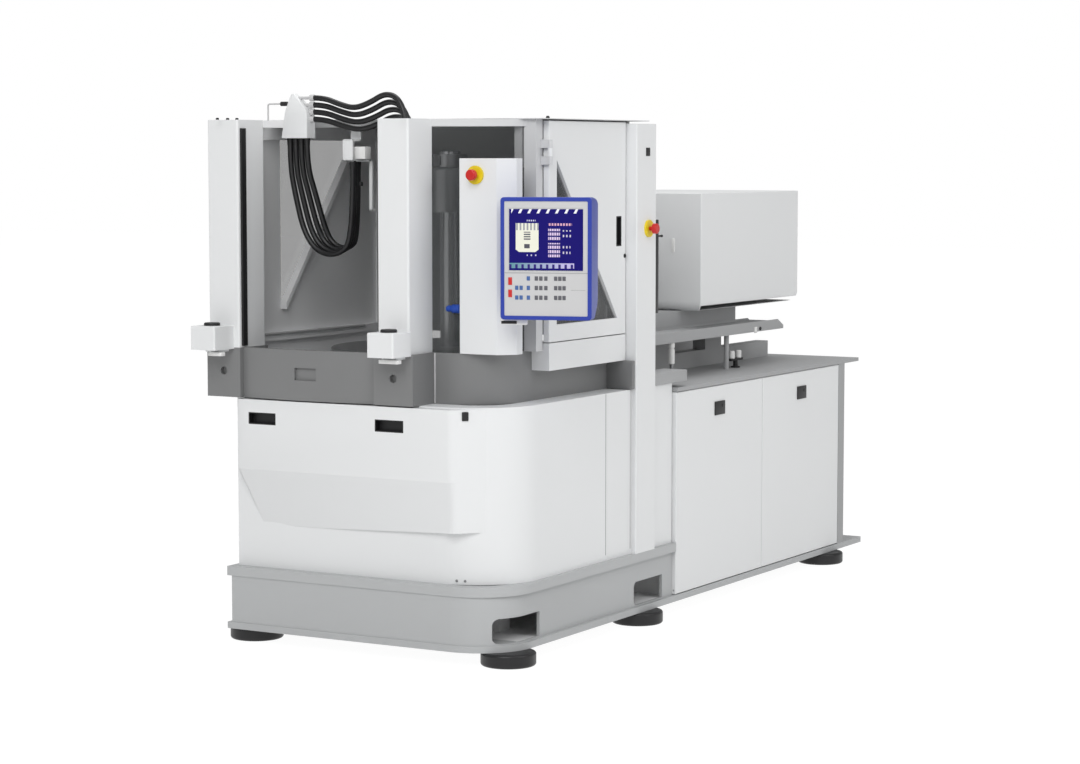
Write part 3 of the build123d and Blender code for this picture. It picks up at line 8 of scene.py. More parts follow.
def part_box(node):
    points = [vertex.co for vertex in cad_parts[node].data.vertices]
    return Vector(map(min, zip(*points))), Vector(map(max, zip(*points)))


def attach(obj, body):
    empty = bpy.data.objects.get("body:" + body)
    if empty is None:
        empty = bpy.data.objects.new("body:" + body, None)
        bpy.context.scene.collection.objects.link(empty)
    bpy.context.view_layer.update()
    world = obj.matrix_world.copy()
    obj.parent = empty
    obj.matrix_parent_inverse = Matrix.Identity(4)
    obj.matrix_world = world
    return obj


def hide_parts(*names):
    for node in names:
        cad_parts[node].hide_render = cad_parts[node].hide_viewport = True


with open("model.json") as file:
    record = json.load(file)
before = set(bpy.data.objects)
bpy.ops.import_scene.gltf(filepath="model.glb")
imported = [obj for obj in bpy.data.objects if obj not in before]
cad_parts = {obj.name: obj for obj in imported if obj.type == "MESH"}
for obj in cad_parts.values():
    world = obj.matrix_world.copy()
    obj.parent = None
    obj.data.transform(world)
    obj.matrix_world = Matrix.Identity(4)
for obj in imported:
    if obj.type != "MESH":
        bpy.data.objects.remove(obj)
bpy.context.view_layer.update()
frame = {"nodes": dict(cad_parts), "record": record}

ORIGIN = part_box("plinth_frame")[0]

bl_info = {
    "name": "Insert moulding machine",
    "version": (1, 0, 0),
    "blender": (4, 5, 0),
    "location": "3D view > Sidebar > Moulding",
    "description": "Dresses the moulding machine's frame with its finishes, hoses, screen and small fittings",
    "category": "Object",
}


class MachineSizes(bpy.types.PropertyGroup):
    """Sizes of the pieces that are made here."""
    hose_diameter: bpy.props.FloatProperty(
        name="Hose diameter", description="Outside diameter of each hose", default=0.021, unit="LENGTH")
    edge_radius: bpy.props.FloatProperty(
        name="Edge radius", description="Rounding of the hose bracket's edges", default=0.0015, unit="LENGTH")
    floor_size: bpy.props.FloatProperty(
        name="Floor size", description="Side of the studio floor", default=80.0, unit="LENGTH")
    lens: bpy.props.FloatProperty(name="Lens", description="Camera's focal length in millimetres", default=88.0)


class MachineColours(bpy.types.PropertyGroup):
    """Colours of the machine's finishes."""
    white_paint: bpy.props.FloatVectorProperty(
        name="White paint", description="Sheet covers", size=3, subtype="COLOR", default=(0.76, 0.77, 0.775))
    grey_paint: bpy.props.FloatVectorProperty(
        name="Grey paint", description="Table and tray", size=3, subtype="COLOR", default=(0.36, 0.365, 0.37))
    frame_paint: bpy.props.FloatVectorProperty(
        name="Frame paint", description="Guard frame and walls", size=3, subtype="COLOR",
        default=(0.60, 0.605, 0.61))
    plinth_paint: bpy.props.FloatVectorProperty(
        name="Plinth paint", description="Plinth and skid", size=3, subtype="COLOR", default=(0.46, 0.47, 0.475))
    band_paint: bpy.props.FloatVectorProperty(
        name="Band paint", description="Band round the bed", size=3, subtype="COLOR",
        default=(0.185, 0.187, 0.188))
    panel_blue: bpy.props.FloatVectorProperty(
        name="Panel blue", description="Panel housing", size=3, subtype="COLOR", default=(0.012, 0.038, 0.34))
    stop_red: bpy.props.FloatVectorProperty(
        name="Stop red", description="Emergency stop buttons", size=3, subtype="COLOR",
        default=(0.55, 0.012, 0.01))
    stop_yellow: bpy.props.FloatVectorProperty(
        name="Stop yellow", description="Emergency stop plates", size=3, subtype="COLOR",
        default=(0.80, 0.62, 0.01))


def place(x, y, z):
    """A point in metres of the frame from millimetres off the plinth's front near corner."""
    return Vector((ORIGIN[0] + x / 1000, ORIGIN[1] + y / 1000, z / 1000))


# Shading: an expression on sockets adds its own Math nodes.

class Wire:
    """One output socket, which can be added, multiplied and compared."""

    def __init__(self, finish, socket):
        self.finish = finish
        self.socket = socket

    def _maths(self, operation, *values):
        return self.finish.add("ShaderNodeMath", {"operation": operation}, dict(enumerate(values)))

    def __add__(self, other):
        return self._maths("ADD", self, other)

    def __radd__(self, other):
        return self._maths("ADD", other, self)

    def __sub__(self, other):
        return self._maths("SUBTRACT", self, other)

    def __rsub__(self, other):
        return self._maths("SUBTRACT", other, self)

    def __mul__(self, other):
        return self._maths("MULTIPLY", self, other)

    def __truediv__(self, other):
        return self._maths("DIVIDE", self, other)

    def __gt__(self, other):
        return self._maths("GREATER_THAN", self, other)

    def __lt__(self, other):
        return self._maths("LESS_THAN", self, other)

    def least(self, other):
        return self._maths("MINIMUM", self, other)

    def most(self, other):
        return self._maths("MAXIMUM", self, other)

    def size(self):
        """The value without its sign."""
        return self._maths("ABSOLUTE", self)

    def cycle(self):
        """How far the value is past the last whole number."""
        return self._maths("FRACT", self)


class Finish:
    """A material under construction, with its surface shader."""

    def __init__(self, name):
        self.material = bpy.data.materials.new(name)
        self.material.use_nodes = True
        self.tree = self.material.node_tree
        self.surface = self.tree.nodes["Principled BSDF"]
        self.coordinates = self.add("ShaderNodeTexCoord", {}, {}, "Object")

    def add(self, kind, settings, inputs, output=0):
        """A node with its settings, then its inputs, which are values or wires."""
        node = self.tree.nodes.new(kind)
        for key, value in settings.items():
            setattr(node, key, value)
        for key, value in inputs.items():
            self.feed(node.inputs[key], value)
        return Wire(self, node.outputs[output])

    def feed(self, socket, value):
        """A value or a wire goes to a socket."""
        if isinstance(value, Wire):
            self.tree.links.new(value.socket, socket)
        else:
            socket.default_value = value

    def set(self, **values):
        """Values or wires for the surface's own sockets."""
        for key, value in values.items():
            self.feed(self.surface.inputs[key.replace("_", " ")], value)

    def noise(self, scale, detail=3.0, stretch=None):
        """Noise from 0 to 1, its places stretched along each axis."""
        where = self.coordinates
        if stretch is not None:
            where = self.add("ShaderNodeMapping", {}, {"Vector": where, "Scale": stretch}, "Vector")
        return self.add("ShaderNodeTexNoise", {}, {"Vector": where, "Scale": scale, "Detail": detail}, "Fac")

    def part(self, axis):
        """One Object coordinate, in metres."""
        return self.add("ShaderNodeSeparateXYZ", {}, {"Vector": self.coordinates}, axis)

    def blend(self, factor, first, second):
        """A colour between two, which are colours or wires."""
        first, second = (colour if isinstance(colour, Wire) else (*colour, 1.0) for colour in (first, second))
        settings = {"data_type": "RGBA", "clamp_factor": True}
        return self.add("ShaderNodeMix", settings, {0: factor, 6: first, 7: second}, 2)

    def bump(self, height, strength, distance):
        """A normal from a height, with the depth of its relief in metres."""
        inputs = {"Height": height, "Strength": strength, "Distance": distance}
        return self.add("ShaderNodeBump", {}, inputs, "Normal")


def shade(colour, factor):
    """A colour made darker or lighter."""
    return tuple(min(1.0, part * factor) for part in colour)


def painted_light_in_box(finish, colour, painted_light_or_shade):
    """A colour with another on the faces inside a box, which has a low and a high corner: that colour is painted
    light, and on the rear wall painted shade.
    """
    if painted_light_or_shade is None:
        return colour
    light_or_shade_colour, low, high = painted_light_or_shade
    inside = 1.0
    for axis, start, end in zip("XYZ", low, high):
        inside = (finish.part(axis) > start) * (finish.part(axis) < end) * inside
    return finish.blend(inside, colour, light_or_shade_colour)


# How high the darkening towards the floor reaches on painted sheet, in metres.
FLOOR_DARKENING_HEIGHT = 0.5


def painted_sheet(name, colour, roughness=0.42, floor_darkening=0.06, painted_light_or_shade=None):
    """Powder-coated sheet: faint orange peel, slow change of tone, darker towards the floor, with painted light
    inside a box where one is given.
    """
    finish = Finish(name)
    tone = finish.noise(1.7, 2.0)
    peel = finish.noise(420.0, 2.0)
    darkening = (1.0 - finish.part("Z") / FLOOR_DARKENING_HEIGHT).most(0.0) * floor_darkening + tone * 0.05
    finish.set(Base_Color=painted_light_in_box(finish, finish.blend(darkening, colour, shade(colour, 0.62)), painted_light_or_shade))
    finish.set(Roughness=roughness + (tone - 0.5) * 0.12, Normal=finish.bump(peel, 0.08, 0.0004))
    return finish.material


def lined_wall(name, paint, painted_light_or_shade):
    """Painted wall with painted shade on its inner face."""
    finish = Finish(name)
    tone = finish.noise(2.0, 2.0)
    colour = finish.blend(tone * 0.15, paint, shade(paint, 0.7))
    finish.set(Base_Color=painted_light_in_box(finish, colour, painted_light_or_shade), Roughness=0.5 + (tone - 0.5) * 0.1)
    return finish.material


def frame_paint(name, paint, painted_light_or_shade):
    """Guard frame's paint, with painted light on the far wall, which makes it brighter there."""
    finish = Finish(name)
    tone = finish.noise(1.7, 2.0)
    peel = finish.noise(420.0, 2.0)
    finish.set(Base_Color=finish.blend(tone * 0.06, painted_light_in_box(finish, paint, painted_light_or_shade), shade(paint, 0.6)))
    finish.set(Roughness=0.5 + (tone - 0.5) * 0.12, Normal=finish.bump(peel, 0.08, 0.0004))
    return finish.material


def cast_paint(name, colour, painted_light_or_shade=None):
    """Painted casting: fine pebbled texture under a satin coat, with painted light inside a box where one is given.
    """
    finish = Finish(name)
    pebble = finish.noise(260.0, 4.0)
    tone = finish.noise(3.0, 2.0)
    cast = finish.blend(tone * 0.5, shade(colour, 1.12), shade(colour, 0.8))
    finish.set(Base_Color=painted_light_in_box(finish, cast, painted_light_or_shade))
    finish.set(Roughness=0.46 + (pebble - 0.5) * 0.25, Normal=finish.bump(pebble, 0.22, 0.0008))
    return finish.material


def machined_metal(name, colour, roughness=0.3, direction=(1.0, 40.0, 40.0)):
    """Ground or turned metal with fine marks along one way."""
    finish = Finish(name)
    marks = finish.noise(60.0, 3.0, direction)
    tone = finish.noise(4.0, 2.0)
    finish.set(Metallic=1.0, Base_Color=finish.blend(tone * 0.4, colour, shade(colour, 0.75)))
    finish.set(Roughness=roughness + (marks - 0.5) * 0.2, Normal=finish.bump(marks, 0.06, 0.0003))
    return finish.material


def moulded_plastic(name, colour, roughness):
    """Moulded plastic with a fine spark-eroded grain."""
    finish = Finish(name)
    texture = finish.noise(900.0, 2.0)
    tone = finish.noise(6.0, 2.0)
    finish.set(Base_Color=finish.blend(tone * 0.25, colour, shade(colour, 0.82)))
    finish.set(Roughness=roughness + (texture - 0.5) * 0.12, Normal=finish.bump(texture, 0.1, 0.0003))
    return finish.material


def hose_rubber(name):
    """Black hose cover with the fine cloth mark that its wrapping leaves."""
    finish = Finish(name)
    texture = finish.noise(700.0, 2.0)
    tone = finish.noise(8.0, 2.0)
    finish.set(Base_Color=finish.blend(tone * 0.6, (0.005, 0.005, 0.006), (0.014, 0.014, 0.015)))
    finish.set(Roughness=0.42 + (tone - 0.5) * 0.2, Normal=finish.bump(texture, 0.15, 0.0004))
    return finish.material


# How much the guard sheets hide, and how much less above the mould space on the near side, which is painted light
# that makes that zone lighter.
SHEET_COVER = 0.42
PAINTED_LIGHT_CLEARING = 0.26
MOULD_SPACE_TOP = 1.77
NEAR_SIDE_END = 0.2


def clear_plastic(name, tint, roughness):
    """Tinted guard sheet: see-through, and as painted light clearer at the top of the near side, so that zone looks
    lighter.
    """
    finish = Finish(name)
    smear = finish.noise(5.0, 4.0)
    lightened_zone = (finish.part("Z") > MOULD_SPACE_TOP) * (finish.part("Y") < NEAR_SIDE_END)
    finish.set(Base_Color=(*tint, 1.0), Roughness=roughness + smear * 0.06)
    finish.set(Alpha=SHEET_COVER - lightened_zone * PAINTED_LIGHT_CLEARING + smear * 0.04)
    return finish.material


def display(name):
    """Control screen: a dark ground with plain blocks, bars and ticks, at shares of the piece's own UV map."""
    finish = Finish(name)
    where = finish.add("ShaderNodeTexCoord", {}, {}, "UV")
    across = finish.add("ShaderNodeSeparateXYZ", {}, {"Vector": where}, "X")
    up = finish.add("ShaderNodeSeparateXYZ", {}, {"Vector": where}, "Y")

    def field(left, right, low, high):
        """One inside a rectangle."""
        return (across > left) * (across < right) * (up > low) * (up < high)

    def rows(wire, count, share):
        """One over the first share of each of so many stripes."""
        return (wire * count).cycle() < share

    colour = (0.006, 0.003, 0.13)
    slant = field(0.03, 0.95, 0.93, 1.0) * rows(across + up * -0.4, 8.0, 0.28)
    colour = finish.blend(slant, colour, (0.75, 0.75, 0.8))
    plate = field(0.09, 0.40, 0.30, 0.77) * ((across - 0.245).size() < up * 1.1 - 0.22)
    colour = finish.blend(plate, colour, (0.72, 0.72, 0.62))
    colour = finish.blend(plate * (up > 0.655) * rows(across, 21.0, 0.5), colour, (0.30, 0.31, 0.34))
    dark = field(0.20, 0.29, 0.49, 0.63) * rows(up, 26.0, 0.55) + field(0.205, 0.28, 0.36, 0.43)
    colour = finish.blend(dark, colour, (0.08, 0.08, 0.10))
    label = field(0.24, 0.36, 0.80, 0.825) * rows(across, 34.0, 0.6)
    label = label + field(0.24, 0.37, 0.235, 0.26) * rows(across, 17.0, 0.3)
    colour = finish.blend(label, colour, (0.5, 0.5, 0.65))
    title = field(0.53, 0.85, 0.73, 0.77) * rows(across, 26.0, 0.62)
    colour = finish.blend(title, colour, (0.62, 0.35, 0.45))
    blocks = field(0.53, 0.69, 0.49, 0.68) + field(0.53, 0.69, 0.22, 0.45)
    blocks = blocks * rows(up, 14.0, 0.66) * rows(across, 31.0, 0.75)
    colour = finish.blend(blocks, colour, (0.62, 0.50, 0.68))
    digits = field(0.72, 0.86, 0.50, 0.66) + field(0.72, 0.83, 0.24, 0.44)
    digits = digits * rows(up, 11.0, 0.42) * rows(across, 22.0, 0.4)
    colour = finish.blend(digits, colour, (0.55, 0.52, 0.60))
    foot = field(0.0, 0.88, 0.035, 0.12)
    colour = finish.blend(foot, colour, finish.blend(across * 1.3, (0.10, 0.26, 0.30), (0.45, 0.42, 0.66)))
    colour = finish.blend(foot * rows(across, 12.0, 0.4) * (up < 0.1), colour, (0.03, 0.02, 0.16))
    finish.set(Base_Color=colour, Roughness=0.3, Specular_IOR_Level=0.15)
    finish.set(Emission_Color=colour, Emission_Strength=0.12)
    return finish.material


# Modelling: each piece starts from a primitive and is shaped in edit mode.

def start_clean():
    """Nothing is selected and nothing is active."""
    bpy.ops.object.select_all(action="DESELECT")


def settle(obj, name, material, body, smooth=30.0):
    """Places a finished piece in its mesh, gives it its material and its body."""
    start_clean()
    obj.select_set(True)
    bpy.context.view_layer.objects.active = obj
    bpy.ops.object.transform_apply(location=True, rotation=True, scale=True)
    bpy.ops.object.shade_smooth_by_angle(angle=math.radians(smooth))
    obj.name = name
    obj.data.name = name
    obj.data.materials.clear()
    obj.data.materials.append(material)
    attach(obj, body)
    return obj


def rounded_block(low, high, radius, segments=3):
    """A block between two corners, its edges rounded."""
    start_clean()
    low, high = Vector(low), Vector(high)
    bpy.ops.mesh.primitive_cube_add(size=1, location=(low + high) / 2, scale=high - low)
    obj = bpy.context.active_object
    bpy.ops.object.transform_apply(location=False, rotation=False, scale=True)
    bpy.ops.object.mode_set(mode="EDIT")
    bpy.ops.mesh.select_all(action="SELECT")
    bpy.ops.mesh.bevel(offset=radius, segments=segments, affect="EDGES")
    bpy.ops.object.mode_set(mode="OBJECT")
    return obj


def joined(objects):
    """Several objects made one."""
    start_clean()
    for obj in objects:
        obj.select_set(True)
    bpy.context.view_layer.objects.active = objects[0]
    bpy.ops.object.join()
    return bpy.context.active_object


def turned(steps, axis, centre, segments=32):
    """A turned piece: radius and height of each step along an axis from its centre."""
    start_clean()
    radius, height = steps[0]
    base = (0, 0, height)
    bpy.ops.mesh.primitive_circle_add(vertices=segments, radius=radius, fill_type="NGON", location=base)
    obj = bpy.context.active_object
    bpy.ops.object.transform_apply(location=True, rotation=False, scale=False)
    bpy.ops.object.mode_set(mode="EDIT")
    bpy.ops.mesh.select_all(action="SELECT")
    for wide, high in steps[1:]:
        bpy.ops.mesh.extrude_region_move(TRANSFORM_OT_translate={"value": (0, 0, high - height)})
        bpy.ops.transform.resize(value=(wide / radius, wide / radius, 1), center_override=(0, 0, high))
        radius, height = wide, high
    bpy.ops.mesh.select_all(action="SELECT")
    bpy.ops.mesh.normals_make_consistent(inside=False)
    bpy.ops.object.mode_set(mode="OBJECT")
    obj.rotation_euler = Vector(axis).to_track_quat("Z", "Y").to_euler()
    obj.location = centre
    return obj


def lofted(rings):
    """A solid through rings of points that have the same count, closed at both ends."""
    start_clean()
    bpy.ops.mesh.primitive_circle_add(vertices=len(rings[0]), radius=1, fill_type="NGON")
    obj = bpy.context.active_object
    for vertex, where in zip(obj.data.vertices, rings[0]):
        vertex.co = where
    for before, after in zip(rings, rings[1:]):
        bpy.ops.object.mode_set(mode="EDIT")
        bpy.ops.mesh.select_mode(type="FACE")
        if before is rings[0]:
            bpy.ops.mesh.select_all(action="SELECT")
        bpy.ops.mesh.extrude_region_move()
        bpy.ops.object.mode_set(mode="OBJECT")
        for vertex in obj.data.vertices:
            if vertex.select:
                near = min(range(len(before)), key=lambda index: (vertex.co - before[index]).length)
                vertex.co = after[near]
    bpy.ops.object.mode_set(mode="EDIT")
    bpy.ops.mesh.select_all(action="SELECT")
    bpy.ops.mesh.normals_make_consistent(inside=False)
    bpy.ops.object.mode_set(mode="OBJECT")
    return obj


def rounded_rectangle(left, right, low, high, radius, steps=6):
    """Points round a rectangle with round corners, as pairs."""
    points = []
    corners = ((right - radius, high - radius), (left + radius, high - radius), (left + radius, low + radius),
               (right - radius, low + radius))
    for quarter, (across, up) in enumerate(corners):
        for step in range(steps + 1):
            angle = math.pi / 2 * (quarter + step / steps)
            points.append((across + radius * math.cos(angle), up + radius * math.sin(angle)))
    return points


def cut_by(obj, low, high):
    """A block between two corners cut out of a piece."""
    start_clean()
    low, high = Vector(low), Vector(high)
    bpy.ops.mesh.primitive_cube_add(size=1, location=(low + high) / 2, scale=high - low)
    tool = bpy.context.active_object
    bpy.ops.object.transform_apply(location=True, rotation=True, scale=True)
    cut = obj.modifiers.new("cut", "BOOLEAN")
    cut.operation = "DIFFERENCE"
    cut.solver = "EXACT"
    cut.object = tool
    start_clean()
    obj.select_set(True)
    bpy.context.view_layer.objects.active = obj
    bpy.ops.object.modifier_apply(modifier=cut.name)
    bpy.data.objects.remove(tool)


def bent_rod(points, radius, bend):
    """A round rod through points, its corners bent."""
    path = [points[0]]
    for before, corner, after in zip(points, points[1:], points[2:]):
        path.append(corner + (before - corner).normalized() * bend)
        path.append(corner)
        path.append(corner + (after - corner).normalized() * bend)
    path.append(points[-1])
    start_clean()
    bpy.ops.curve.primitive_nurbs_path_add()
    obj = bpy.context.active_object
    curve = obj.data
    curve.splines.clear()
    spline = curve.splines.new("NURBS")
    spline.points.add(len(path) - 1)
    for point, where in zip(spline.points, path):
        point.co = (*where, 1)
    spline.order_u = 3 if len(path) > 2 else 2
    spline.use_endpoint_u = True
    curve.resolution_u = 8
    curve.bevel_depth = radius
    curve.bevel_resolution = 3
    curve.use_fill_caps = True
    bpy.ops.object.convert(target="MESH")
    return bpy.context.active_object


# Painted light and painted shade, which differ from the paint round them: colour, low and high corner in metres.
# FAR is past all faces.
FAR = 9.0
# Painted light: a pale colour in the plinth's fork tunnels stands in for light that doesn't reach them.
FORK_PAINTED_LIGHT = ((0.88, 0.885, 0.89), (-1.38, -0.46, 0.06), (-0.19, 0.76, 0.24))
# Painted light: a pale colour on the bed skirt's inner face stands in for light that doesn't reach it.
BED_PAINTED_LIGHT = ((0.86, 0.865, 0.87), (-1.5, 0.745, -FAR), (FAR, 0.76, FAR))
# Painted light: a pale colour on the guard frame's far side stands in for light that doesn't reach the far wall.
FAR_WALL_PAINTED_LIGHT = ((0.86, 0.865, 0.87), (-FAR, 0.55, -FAR), (FAR, FAR, FAR))
# Painted shade: a near-black colour on the rear wall's face, below the mould space top, stands in for the shade
# inside the guard.
REAR_WALL_PAINTED_SHADE = ((0.06, 0.061, 0.063), (-FAR, -FAR, -FAR), (-0.3815, FAR, 1.77))


def materials():
    """The machine's finishes by name, made once."""
    colours = bpy.context.scene.machine_colours
    band = tuple(colours.band_paint)
    guard = tuple(colours.frame_paint)
    made = {}
    recipes = {
        "white_paint": lambda name: painted_sheet(name, tuple(colours.white_paint)),
        "grey_paint": lambda name: painted_sheet(name, tuple(colours.grey_paint), 0.5),
        "plinth_paint": lambda name: painted_sheet(name, tuple(colours.plinth_paint), 0.5, 0.12, FORK_PAINTED_LIGHT),
        "cast_band": lambda name: cast_paint(name, band),
        "steel": lambda name: machined_metal(name, (0.30, 0.305, 0.31)),
        "bar_chrome": lambda name: machined_metal(name, (0.50, 0.51, 0.52), 0.2, (40.0, 40.0, 1.0)),
        # Guard paint with painted light on the far wall.
        "frame_paint": lambda name: frame_paint(name, guard, FAR_WALL_PAINTED_LIGHT),
        # Guard paint with painted shade on the rear wall's inner face.
        "lined_wall": lambda name: lined_wall(name, guard, REAR_WALL_PAINTED_SHADE),
        # Band paint with painted light on the bed skirt's inner face.
        "lined_cast": lambda name: cast_paint(name, band, BED_PAINTED_LIGHT),
        "bronze": lambda name: machined_metal(name, (0.50, 0.34, 0.13), 0.35),
        "black_rubber": hose_rubber,
        "black_plastic": lambda name: moulded_plastic(name, (0.008, 0.008, 0.009), 0.5),
        "blue_plastic": lambda name: moulded_plastic(name, tuple(colours.panel_blue), 0.38),
        "light_plastic": lambda name: moulded_plastic(name, (0.56, 0.56, 0.565), 0.4),
        "yellow_plastic": lambda name: moulded_plastic(name, tuple(colours.stop_yellow), 0.4),
        "red_plastic": lambda name: moulded_plastic(name, tuple(colours.stop_red), 0.3),
        "clear_sheet": lambda name: clear_plastic(name, (0.085, 0.09, 0.092), 0.08),
        "screen": display,
        "key_grey": lambda name: moulded_plastic(name, (0.10, 0.10, 0.115), 0.45),
        "key_blue": lambda name: moulded_plastic(name, (0.05, 0.12, 0.33), 0.45),
        "soft_blue": lambda name: moulded_plastic(name, (0.01, 0.06, 0.38), 0.35),
        "bright_white": lambda name: moulded_plastic(name, (0.80, 0.80, 0.79), 0.35),
    }
    for name, recipe in recipes.items():
        made[name] = bpy.data.materials.get(name + "_finish") or recipe(name + "_finish")
    return made


# The studio: the floor's glow and the camera's share of it, the surround's light on the machine, and the lamps
# with their name, place, width and power.
FLOOR_GLOW = 1.07
GLOW_SHARE = 0.9
SURROUND_LIGHT = 0.45
LAMPS = (
    ("key_lamp", (-7.5, -2.0, 5.5), 4.5, 300),
    ("side_lamp", (-1.0, -7.5, 5.0), 5.0, 185),
    ("top_lamp", (0.5, 1.0, 7.0), 5.0, 170),
)
LAMP_TARGET = (-0.6, 0.3, 0.9)

# The photograph's camera: its place in millimetres, and in degrees how far it looks down and off the x axis.
CAMERA_PLACE = (-7910, -4668, 1809)
CAMERA_DOWN = 4.88
CAMERA_HEADING = 29.7
SENSOR_WIDTH = 36


class MACHINE_OT_stage(bpy.types.Operator):
    """Studio floor, lamps, background and the camera"""
    bl_idname = "machine.stage"
    bl_label = "Stage"

    def execute(self, context):
        sizes = context.scene.machine_sizes
        start_clean()
        bpy.ops.mesh.primitive_plane_add(size=sizes.floor_size, location=(0, 0, 0))
        floor = context.active_object
        floor.name = "studio_floor"
        finish = Finish("studio_floor")
        finish.set(Base_Color=(0.9, 0.9, 0.9, 1.0), Roughness=0.6)
        glow = finish.add("ShaderNodeEmission", {}, {"Color": (1, 1, 1, 1), "Strength": FLOOR_GLOW}, "Emission")
        path = finish.tree.nodes.new("ShaderNodeLightPath")
        seen = Wire(finish, path.outputs["Is Camera Ray"]) + Wire(finish, path.outputs["Is Glossy Ray"])
        seen = (seen + Wire(finish, path.outputs["Is Transmission Ray"])).least(1.0)
        mix = finish.tree.nodes.new("ShaderNodeMixShader")
        finish.tree.links.new((seen * GLOW_SHARE).socket, mix.inputs[0])
        finish.tree.links.new(finish.surface.outputs[0], mix.inputs[1])
        finish.tree.links.new(glow.socket, mix.inputs[2])
        finish.tree.links.new(mix.outputs[0], finish.tree.nodes["Material Output"].inputs["Surface"])
        floor.data.materials.append(finish.material)
        self.light(context)
        self.camera(context, sizes)
        context.scene.view_settings.view_transform = "Standard"
        return {"FINISHED"}

    def light(self, context):
        """An even pale surround and three soft lamps."""
        world = bpy.data.worlds.new("studio")
        context.scene.world = world
        world.use_nodes = True
        tree = world.node_tree
        surround = tree.nodes["Background"]
        surround.inputs["Color"].default_value = (1, 1, 1, 1)
        surround.inputs["Strength"].default_value = SURROUND_LIGHT
        bright = tree.nodes.new("ShaderNodeBackground")
        bright.inputs["Color"].default_value = (1, 1, 1, 1)
        bright.inputs["Strength"].default_value = 1.0
        path = tree.nodes.new("ShaderNodeLightPath")
        seen = tree.nodes.new("ShaderNodeMath")
        seen.operation = "ADD"
        seen.use_clamp = True
        tree.links.new(path.outputs["Is Camera Ray"], seen.inputs[0])
        tree.links.new(path.outputs["Is Transmission Ray"], seen.inputs[1])
        mix = tree.nodes.new("ShaderNodeMixShader")
        tree.links.new(seen.outputs[0], mix.inputs[0])
        tree.links.new(surround.outputs[0], mix.inputs[1])
        tree.links.new(bright.outputs[0], mix.inputs[2])
        tree.links.new(mix.outputs[0], tree.nodes["World Output"].inputs["Surface"])
        for name, where, size, watts in LAMPS:
            lamp = bpy.data.lights.new(name, "AREA")
            lamp.energy = watts
            lamp.size = size
            obj = bpy.data.objects.new(name, lamp)
            obj.location = where
            obj.rotation_euler = (Vector(LAMP_TARGET) - Vector(where)).to_track_quat("-Z", "Y").to_euler()
            context.scene.collection.objects.link(obj)

    def camera(self, context, sizes):
        """The photograph's view: a long lens, a little above the machine's shoulder."""
        lens = bpy.data.cameras.new("camera")
        lens.lens = sizes.lens
        lens.sensor_width = SENSOR_WIDTH
        lens.sensor_fit = "HORIZONTAL"
        lens.clip_end = 200
        camera = bpy.data.objects.new("camera", lens)
        camera.location = place(*CAMERA_PLACE)
        camera.rotation_euler = (math.radians(90 - CAMERA_DOWN), 0, math.radians(CAMERA_HEADING - 90))
        context.scene.collection.objects.link(camera)
        context.scene.camera = camera


# What the hoses run between, how far apart they lie there and how low the loops hang, in millimetres.
HOOD = {"x": 300, "y": 1060, "bottom": 1878, "top": 2042, "width": 116}
BRACKET = {"x": 350, "y": 838, "z": 1790}
MANIFOLD = {"x": 215, "y": 522, "top": 1790}
LOOP_PITCH = 25.5
BRACKET_PITCH = (24, 8.5)
LOOP_BOTTOM = 1440
LOOP_STEP = 8
OVER_PITCH = 26.5
OVER_INSET = 14
MANIFOLD_PITCH = 27
HOSE_COUNT = 4

# Points of a loop and of an upper hose: shares of the way along x and y, then a height in millimetres, or in the
# loop's bend a share of its width.
LOOP_LEG = ((0, 0, HOOD["bottom"]), (0, 0, 1775), (0.45, 0.06, 1670))
LOOP_BEND = ((0.92, 0.19, 0.3), (1, 0.42, 0.03), (1, 0.76, 0), (1, 1, 0.24))
OVER_SHAPE = ((0, 0, 0), (0, 0.12, 0), (0.25, 0.3, -26), (0.45, 0.46, -42), (0.62, 0.62, -22), (0.8, 0.78, 12),
              (0.93, 0.92, -6), (1, 1, -90), (1, 1, 0))


def loop_route(index):
    """The hanging loop's points, from the hood down and up to the bracket."""
    start_y = HOOD["y"] + (1.5 - index) * LOOP_PITCH
    end_x = BRACKET["x"] + (index - 1.5) * BRACKET_PITCH[0]
    end_y = BRACKET["y"] + (index - 1.5) * BRACKET_PITCH[1]
    width = start_y - end_y
    route = list(LOOP_LEG)
    for across, along, rise in LOOP_BEND:
        route.append((across, along, LOOP_BOTTOM + index * LOOP_STEP + rise * width))
    route.append((1, 1, BRACKET["z"]))
    return [(HOOD["x"] + a * (end_x - HOOD["x"]), start_y + b * (end_y - start_y), z) for a, b, z in route]


def over_route(index):
    """The upper hose's points, from the hood's near side over to the manifold."""
    start_z = HOOD["top"] - OVER_INSET - index * OVER_PITCH
    end_x = MANIFOLD["x"] + index * MANIFOLD_PITCH
    near_y = HOOD["y"] - HOOD["width"] / 2
    route = []
    for across, along, height in OVER_SHAPE:
        x = HOOD["x"] + across * (end_x - HOOD["x"])
        y = near_y + along * (MANIFOLD["y"] - near_y)
        route.append([x, y, start_z + height])
    route[-1][2] = MANIFOLD["top"]
    return route


